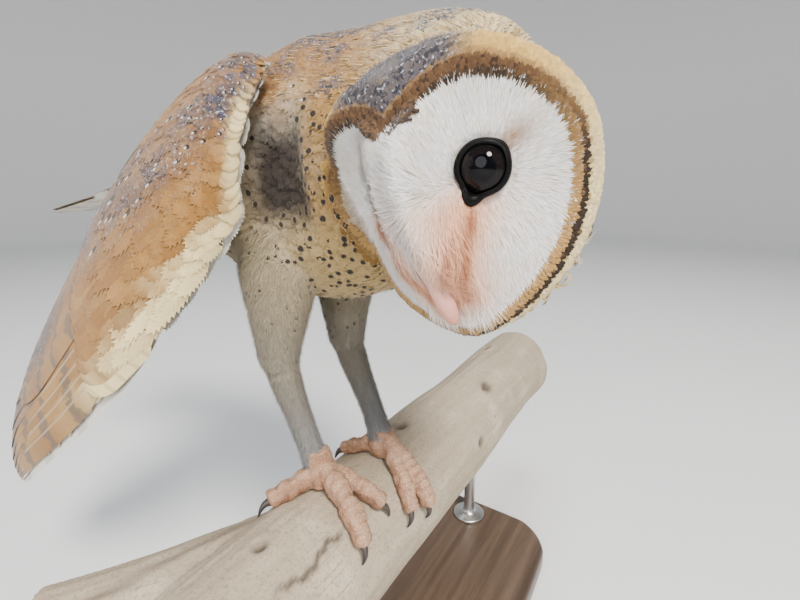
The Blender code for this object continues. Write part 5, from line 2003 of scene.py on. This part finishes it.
def build_perch(finishes):
    """Log and limb as one solid, grooved along the grain, with knots and splits."""
    log = one_solid(raise_shells("perch_wood", log_shells()), SKIN_VOXEL, 3)
    place, normal, _ = mesh_rows(log.data)
    x, y, z = place.T
    limb_run = (place - LIMB_ROOT) @ LIMB_LEAD
    on_limb = ease(limb_run, 22, 40) * ease(y, 4, 26)
    grain_limb = np.stack([limb_run + 300, (place - LIMB_ROOT) @ LIMB_SIDE, z], -1)
    grain = np.where(on_limb[:, None] > 0.5, grain_limb, place)
    stretched = grain * [0.07, 1, 1]
    depth = 0.30 * ripple(stretched, 3.2, 121) + 0.35 * ripple(stretched, 8.0, 122)
    depth = depth + 0.5 * ripple(grain * [0.5, 1, 1], 40.0, 123)
    # The hollow mark is painted near-black: partly the wood's own knots and splits, partly painted shade in
    # them and along the fork.
    hollow = np.zeros(len(place))
    for knot_x, knot_turn, size in KNOTS:
        away = np.linalg.norm((place - on_log(knot_x, knot_turn, 0.0)) * [0.7, 1, 1], axis=1)
        depth = depth + bell(away, size * 1.25, size * 0.5) - 2.6 * bell(away, 0, size * 0.55)
        hollow = np.maximum(hollow, np.minimum(1.5 * bell(away, 0, size * 0.62), 1.0))
    fork = bell(y - 22.0 - 0.35 * (-60 - x), 0, 3.0) * ease(x, -40, -60) * ease(z + LOG_RADIUS, 5, 16)
    split_line = -24.8 + 1.3 * np.sin(x * 0.23) + 0.5 * np.sin(x * 0.9)
    split = bell(y, split_line, 1.0) * ease(x, -37, -42) * ease(x, -84, -66) * ease(z, -22, -16)
    depth = depth - 0.9 * fork - 1.6 * split
    hollow = np.maximum(np.maximum(hollow, fork * 0.6), np.minimum(1.3 * split, 1.0))
    under_feet = bell(x + 6, 0, 34) * ease(z, -30, -14)
    depth = np.minimum(depth * (1 - 0.6 * under_feet), 0.35) - 0.15
    set_points(log, place + normal * depth[:, None])
    layer = log.data.attributes.new("grain", "FLOAT_VECTOR", "POINT")
    layer.data.foreach_set("vector", (grain * MM).astype(np.float32).ravel())
    paint(log.data, "marks", np.stack([hollow, 0 * hollow, 0 * hollow], -1))
    return own(log, finishes["log"], "log_wood", "perch_log")


def build_base(finishes):
    """Base block: a rounded oblong outline carried up a quarter-round edge."""
    count = 160
    way = FULL_TURN * np.arange(count) / count
    corners = np.stack([np.cos(way), np.sin(way)], -1)
    outline = np.sign(corners) * (BASE_HALF - BASE_CORNER) * ease(np.abs(corners), 0.0, 0.35)
    rings = []
    for inset, height in BASE_EDGE:
        radius = BASE_CORNER - min(inset, BASE_CORNER * 0.9)
        level = outline * (1 - max(inset - 4, 0) / 70) + corners * radius
        rings.append(np.concatenate([level + BASE_MIDDLE, np.full((count, 1), height - PERCH_TOP)], -1))
    base = face_outwards(raise_mesh("stand_base_block", np.array(rings), shell_faces(count, len(rings))))
    base.data.polygons.foreach_set("use_smooth", [len(p.vertices) == 4 for p in base.data.polygons])
    return own(base, finishes["base"], "base_wood", "stand_base")


def build_rods(finishes):
    """Two turned rods: flange, slim shaft and a cup that meets the underside of the log."""
    count = 64
    turn = FULL_TURN * np.arange(count) / count
    foot, top = 14.3 - PERCH_TOP, -2 * LOG_RADIUS + 6.0
    profile = [(r, foot + z) for r, z in ROD_FOOT] + [(r, top + z) for r, z in ROD_TOP]
    shells = []
    for x in ROD_PLACES:
        rings = [
            np.stack([x + r * np.cos(turn), LOG_AXIS_Y + r * np.sin(turn), np.full(count, z)], -1)
            for r, z in profile
        ]
        cup = rings[-1].copy()
        lower = np.sqrt(np.maximum((LOG_RADIUS + 0.3) ** 2 - (cup[:, 1] - LOG_AXIS_Y) ** 2, 0))
        cup[:, 2] = -LOG_RADIUS - lower
        shells.append((np.array([*rings, cup]), shell_faces(count, len(rings) + 1)))
    rods = face_outwards(raise_shells("stand_rods", shells))
    return own(rods, finishes["steel"], "rod_steel", "stand_rod_near", "stand_rod_far")


# ---- the stage

# Name, place and aim in metres, size, power and tint.
LIGHTS = (
    ("key_light", (-0.78, -1.10, 1.70), (-0.03, 0.0, 0.28), 0.55, 84.0, (1.0, 0.95, 0.87)),
    ("front_light", (-1.50, -0.40, 0.80), (-0.03, 0.0, 0.25), 1.3, 20.0, (0.95, 0.97, 1.0)),
    ("sky_light", (0.3, 0.3, 2.3), (0.0, 0.0, 0.2), 1.4, 27.0, (0.93, 0.96, 1.0)),
    ("fill_light", (-1.6, 1.1, 0.9), (0.0, 0.05, 0.2), 1.4, 5.0, (1.0, 0.98, 0.95)),
)
CAMERA_PLACE = (-0.1684, -0.1344, 0.290)
CAMERA_RIGHT = (0.52903, -0.84860, 0.0)
CAMERA_UP = (0.20529, 0.12798, 0.97029)


def build_stage(finishes):
    """Pale floor that sweeps up into a wall all round, one camera and four soft lights."""
    count = 96
    turn = FULL_TURN * np.arange(count) / count
    level = np.linspace(0, math.pi / 2, 14)
    reach = np.concatenate([[0.02, 1.2, 2.4], 2.6 + 1.0 * np.sin(level), [3.6]])
    height = np.concatenate([[0.0, 0.0, 0.0], 1.0 * (1 - np.cos(level)), [3.2]])
    rings = np.stack(
        [reach[:, None] * np.cos(turn), reach[:, None] * np.sin(turn), height[:, None] + 0 * turn[None]], -1
    )
    floor = raise_mesh("floor_sweep", rings / MM - [0, 0, PERCH_TOP], shell_faces(count, len(reach))[:-1])
    floor.data.materials.append(finishes["floor"])
    for name, place, aim, size, power, tint in LIGHTS:
        lamp = bpy.data.lights.new(name, "AREA")
        lamp.shape = "DISK"
        lamp.size = size
        lamp.energy = power
        lamp.color = tint
        thing = add_object(name, lamp)
        thing.location = place
        thing.rotation_euler = (Vector(aim) - Vector(place)).to_track_quat("-Z", "Y").to_euler()
    world = bpy.data.worlds.new("soft_room")
    world.use_nodes = True
    ground = world.node_tree.nodes["Background"].inputs
    ground["Color"].default_value = (0.80, 0.86, 0.95, 1.0)
    ground["Strength"].default_value = 0.13
    bpy.context.scene.world = world
    lens = bpy.data.cameras.new("view")
    lens.sensor_width = 36.0
    lens.lens = 20.385
    lens.clip_start = 0.005
    camera = add_object("view", lens)
    right, rise = Vector(CAMERA_RIGHT), Vector(CAMERA_UP)
    turned = Matrix((right, rise, right.cross(rise))).transposed().to_4x4()
    camera.matrix_world = Matrix.Translation(CAMERA_PLACE) @ turned
    bpy.context.scene.camera = camera
    return floor


# ---- add-on


def colour(label, text, default):
    """A colour setting, its parts from 0 to 1."""
    return bpy.props.FloatVectorProperty(
        name=label, description=text, subtype="COLOR", size=3, min=0.0, max=1.0, default=default
    )


def millimetres(label, text, default):
    """A length setting, given in millimetres and kept in metres."""
    return bpy.props.FloatProperty(
        name=label, description=text, default=default * MM, unit="LENGTH", min=0.0
    )


class OwlSizes(bpy.types.PropertyGroup):
    """Lengths of the coat."""

    coat_depth: millimetres("Coat depth", "How far the skin lies under the body's outline", 3.4)
    face_depth: millimetres("Face depth", "How far the skin lies under the facial disc", 1.7)
    face_hair: millimetres("Face feathers", "Length of the hair-like feathers of the disc", 7.4)
    body_feather: millimetres("Body feathers", "Length of the breast feathers", 10.0)


class OwlColours(bpy.types.PropertyGroup):
    """Plumage, skin, wood and stage colours."""

    face: colour("Face", "White of the facial disc", (0.790, 0.765, 0.745))
    face_warm: colour("Face warm", "Warm white of the facial disc", (0.800, 0.690, 0.570))
    peach: colour("Peach", "Warm wash beside the bill", (0.780, 0.385, 0.215))
    rufous: colour("Rufous", "Streak from eye to bill", (0.320, 0.110, 0.045))
    smudge: colour("Smudge", "Mark at the eye's outer corner", (0.270, 0.125, 0.040))
    lid: colour("Lid", "Dark skin round the eye", (0.006, 0.004, 0.004))
    lid_edge: colour("Lid edge", "Edge of the lid", (0.002, 0.002, 0.002))
    rim_top: colour("Ruff top", "Brown ruff above the disc", (0.105, 0.050, 0.022))
    rim_side: colour("Ruff side", "Ochre ruff beside the disc", (0.410, 0.235, 0.078))
    rim_dark: colour("Ruff edge", "Dark scallops along the disc", (0.028, 0.017, 0.011))
    cream: colour("Cream", "Pale band outside the ruff", (0.760, 0.605, 0.310))
    ochre_pale: colour("Pale ochre", "Warm part of the pale band", (0.600, 0.370, 0.100))
    # Partly painted shade: the ochre is darkened to match the neck in the shade under the head.
    ochre: colour("Ochre", "Sides of the neck", (0.215, 0.112, 0.024))
    gold: colour("Gold", "Ground of wings and mantle", (0.270, 0.120, 0.020))
    gold_light: colour("Light gold", "Paler ground of wings and mantle", (0.400, 0.215, 0.055))
    grey: colour("Grey", "Blue-grey veil of the upper side", (0.036, 0.052, 0.100))
    # Partly painted light: the nape's golden white is lightened for the sunlight falling on it.
    nape: colour("Nape", "Bright golden white of the nape", (0.700, 0.550, 0.290))
    # Partly painted shade: breast, belly, leg and down are darker than the real plumage, for the shade
    # under the head.
    breast: colour("Breast", "Buff of the breast", (0.335, 0.235, 0.098))
    belly: colour("Belly", "Pale belly", (0.290, 0.235, 0.145))
    leg: colour("Leg", "Lower thigh and upper shank", (0.215, 0.190, 0.145))
    down: colour("Down", "Short down of the shank", (0.205, 0.203, 0.205))
    underwing: colour("Underwing", "White lining of the wing", (0.660, 0.630, 0.560))
    # Painted shade: this near-black colour stands in for the shadow in the hollow before each wing, not
    # only for grey down.
    hollow: colour("Hollow", "Grey down in the hollow before the wing", (0.030, 0.022, 0.018))
    bristle: colour("Bristle", "Bristles of the toes", (0.550, 0.470, 0.400))
    spot: colour("Spot", "Dark drops on the breast", (0.018, 0.014, 0.012))
    bar: colour("Bar", "Bars of the flight feathers", (0.100, 0.070, 0.050))
    shaft: colour("Shaft", "Quill of the flight feathers", (0.40, 0.28, 0.16))
    speckle_dark: colour("Dark speckle", "Dark grains of the veil", (0.016, 0.018, 0.030))
    speckle_pale: colour("Pale speckle", "Pale grains of the veil", (0.550, 0.580, 0.640))
    toe: colour("Toe", "Skin of the toes", (0.370, 0.200, 0.120))
    toe_pale: colour("Toe light", "Raised skin of the toes", (0.560, 0.365, 0.240))
    toe_shade: colour("Toe dark", "Folds between the scutes", (0.130, 0.058, 0.034))
    bill_base: colour("Bill base", "Horn at the root of the bill", (0.620, 0.320, 0.250))
    bill_tip: colour("Bill tip", "Pink of the bill's end", (0.560, 0.220, 0.160))
    claw: colour("Claw", "Dark horn of the claws", (0.045, 0.034, 0.030))
    wood: colour("Wood", "Weathered log", (0.450, 0.370, 0.275))
    wood_dark: colour("Wood shade", "Darker bands of the log", (0.340, 0.280, 0.205))
    wood_pale: colour("Wood wear", "Pale worn log", (0.600, 0.520, 0.400))
    wood_line: colour("Wood grain", "Fine grain lines", (0.200, 0.155, 0.110))
    wood_crack: colour("Wood split", "Splits and knots", (0.045, 0.034, 0.026))
    base_dark: colour("Base dark", "Dark grain of the base", (0.050, 0.032, 0.022))
    base_light: colour("Base light", "Lighter grain of the base", (0.115, 0.075, 0.050))
    floor: colour("Floor", "Pale floor", (0.74, 0.75, 0.76))


def finishes_of(palette):
    """Every material, made once and kept for the operators."""
    if "finishes" not in WORK:
        WORK["finishes"] = {
            "skin": skin_finish(palette),
            "lid": lid_finish(),
            "face": plumage("face_feather_finish", palette, 0.04, 0.05, 6.0),
            "ruff": plumage("ruff_feather_finish", palette, 0.16, 0.3, 14.0),
            "head": plumage("crown_feather_finish", palette, 0.12, 0.25, 18.0),
            "body": plumage("body_feather_finish", palette, 0.10, 0.15, 20.0, drop_size=0.46),
            "wing": plumage("wing_feather_finish", palette, 0.12, 0.3, 30.0, drop_size=0.20, pearl=0.7),
            "flight": plumage("flight_feather_finish", palette, 0.12, 0.3, 110.0, shaft=0.8),
            "bill": horn("bill_finish", palette.bill_base, palette.bill_tip, 0.32),
            "claw": horn("claw_finish", palette.claw, (0.012, 0.010, 0.010), 0.24),
            "eye": eye_finish(),
            "log": log_finish(palette),
            "base": base_finish(palette),
            "steel": steel_finish(),
            "floor": floor_finish(palette),
        }
    return WORK["finishes"]


def settings(context):
    """The scene's sizes, colours and finishes."""
    palette = context.scene.owl_colours
    return context.scene.owl_sizes, palette, finishes_of(palette)


class OWL_OT_skin(bpy.types.Operator):
    """Makes the one skin under the coat"""

    bl_idname = "owl.skin"
    bl_label = "Skin"

    def execute(self, context):
        sizes, palette, _ = settings(context)
        build_skin(sizes, palette)
        return {"FINISHED"}


class OWL_OT_head(bpy.types.Operator):
    """Makes the eyes, lids and bill"""

    bl_idname = "owl.head_parts"
    bl_label = "Eyes and bill"

    def execute(self, context):
        _, palette, finishes = settings(context)
        build_eyes(finishes)
        build_lids(finishes, palette)
        build_bill(finishes)
        return {"FINISHED"}


class OWL_OT_face(bpy.types.Operator):
    """Lays the facial disc, its ruff, the crown and the bristles by the bill"""

    bl_idname = "owl.face_coat"
    bl_label = "Face and crown"

    def execute(self, context):
        sizes, palette, finishes = settings(context)
        face_hair(1.0, sizes, finishes)
        face_hair(-1.0, sizes, finishes)
        bill_bristles(finishes)
        ruff_rows(finishes, palette)
        head_coat(finishes, palette)
        return {"FINISHED"}


class OWL_OT_body(bpy.types.Operator):
    """Lays the coat of neck, breast, belly, back and legs"""

    bl_idname = "owl.body_coat"
    bl_label = "Body and legs"

    def execute(self, context):
        sizes, palette, finishes = settings(context)
        body_coat(finishes, palette, sizes)
        leg_coat(finishes)
        toe_bristles(finishes, palette)
        return {"FINISHED"}


class OWL_OT_wings(bpy.types.Operator):
    """Lays both wings and the tail"""

    bl_idname = "owl.wings"
    bl_label = "Wings and tail"

    def execute(self, context):
        _, palette, finishes = settings(context)
        wing_coat("left", finishes, palette)
        wing_coat("right", finishes, palette)
        tail_coat(finishes, palette)
        return {"FINISHED"}


class OWL_OT_close(bpy.types.Operator):
    """Joins the feet to the skin, paints the marks of the coat on it and adds the claws"""

    bl_idname = "owl.close_skin"
    bl_label = "Close the skin"

    def execute(self, context):
        _, palette, finishes = settings(context)
        finish_skin(finishes, palette)
        build_claws(finishes)
        return {"FINISHED"}


class OWL_OT_perch(bpy.types.Operator):
    """Makes the log, the base and the rods"""

    bl_idname = "owl.perch"
    bl_label = "Log and stand"

    def execute(self, context):
        _, _, finishes = settings(context)
        build_perch(finishes)
        build_base(finishes)
        build_rods(finishes)
        return {"FINISHED"}


class OWL_OT_stage(bpy.types.Operator):
    """Makes the floor, lights and camera"""

    bl_idname = "owl.stage"
    bl_label = "Stage"

    def execute(self, context):
        _, _, finishes = settings(context)
        build_stage(finishes)
        return {"FINISHED"}


STEPS = (
    OWL_OT_skin, OWL_OT_head, OWL_OT_face, OWL_OT_body,
    OWL_OT_wings, OWL_OT_close, OWL_OT_perch, OWL_OT_stage,
)


class OWL_PT_panel(bpy.types.Panel):
    """Lists the steps and the sizes and colours"""

    bl_label = "Barn Owl"
    bl_idname = "OWL_PT_panel"
    bl_space_type = "VIEW_3D"
    bl_region_type = "UI"
    bl_category = "Barn Owl"

    def draw(self, context):
        for step in STEPS:
            self.layout.operator(step.bl_idname)
        for group in (context.scene.owl_sizes, context.scene.owl_colours):
            for name in group.__annotations__:
                self.layout.prop(group, name)


CLASSES = (OwlSizes, OwlColours, *STEPS, OWL_PT_panel)


def register():
    """Adds the classes and the scene's settings."""
    for item in CLASSES:
        bpy.utils.register_class(item)
    bpy.types.Scene.owl_sizes = bpy.props.PointerProperty(type=OwlSizes)
    bpy.types.Scene.owl_colours = bpy.props.PointerProperty(type=OwlColours)


def unregister():
    """Takes them away again."""
    del bpy.types.Scene.owl_sizes
    del bpy.types.Scene.owl_colours
    for item in reversed(CLASSES):
        bpy.utils.unregister_class(item)


def main():
    register()
    bpy.ops.owl.skin()
    bpy.ops.owl.head_parts()
    bpy.ops.owl.face_coat()
    bpy.ops.owl.body_coat()
    bpy.ops.owl.wings()
    bpy.ops.owl.close_skin()
    bpy.ops.owl.perch()
    bpy.ops.owl.stage()


if __name__ == "__main__":
    main()
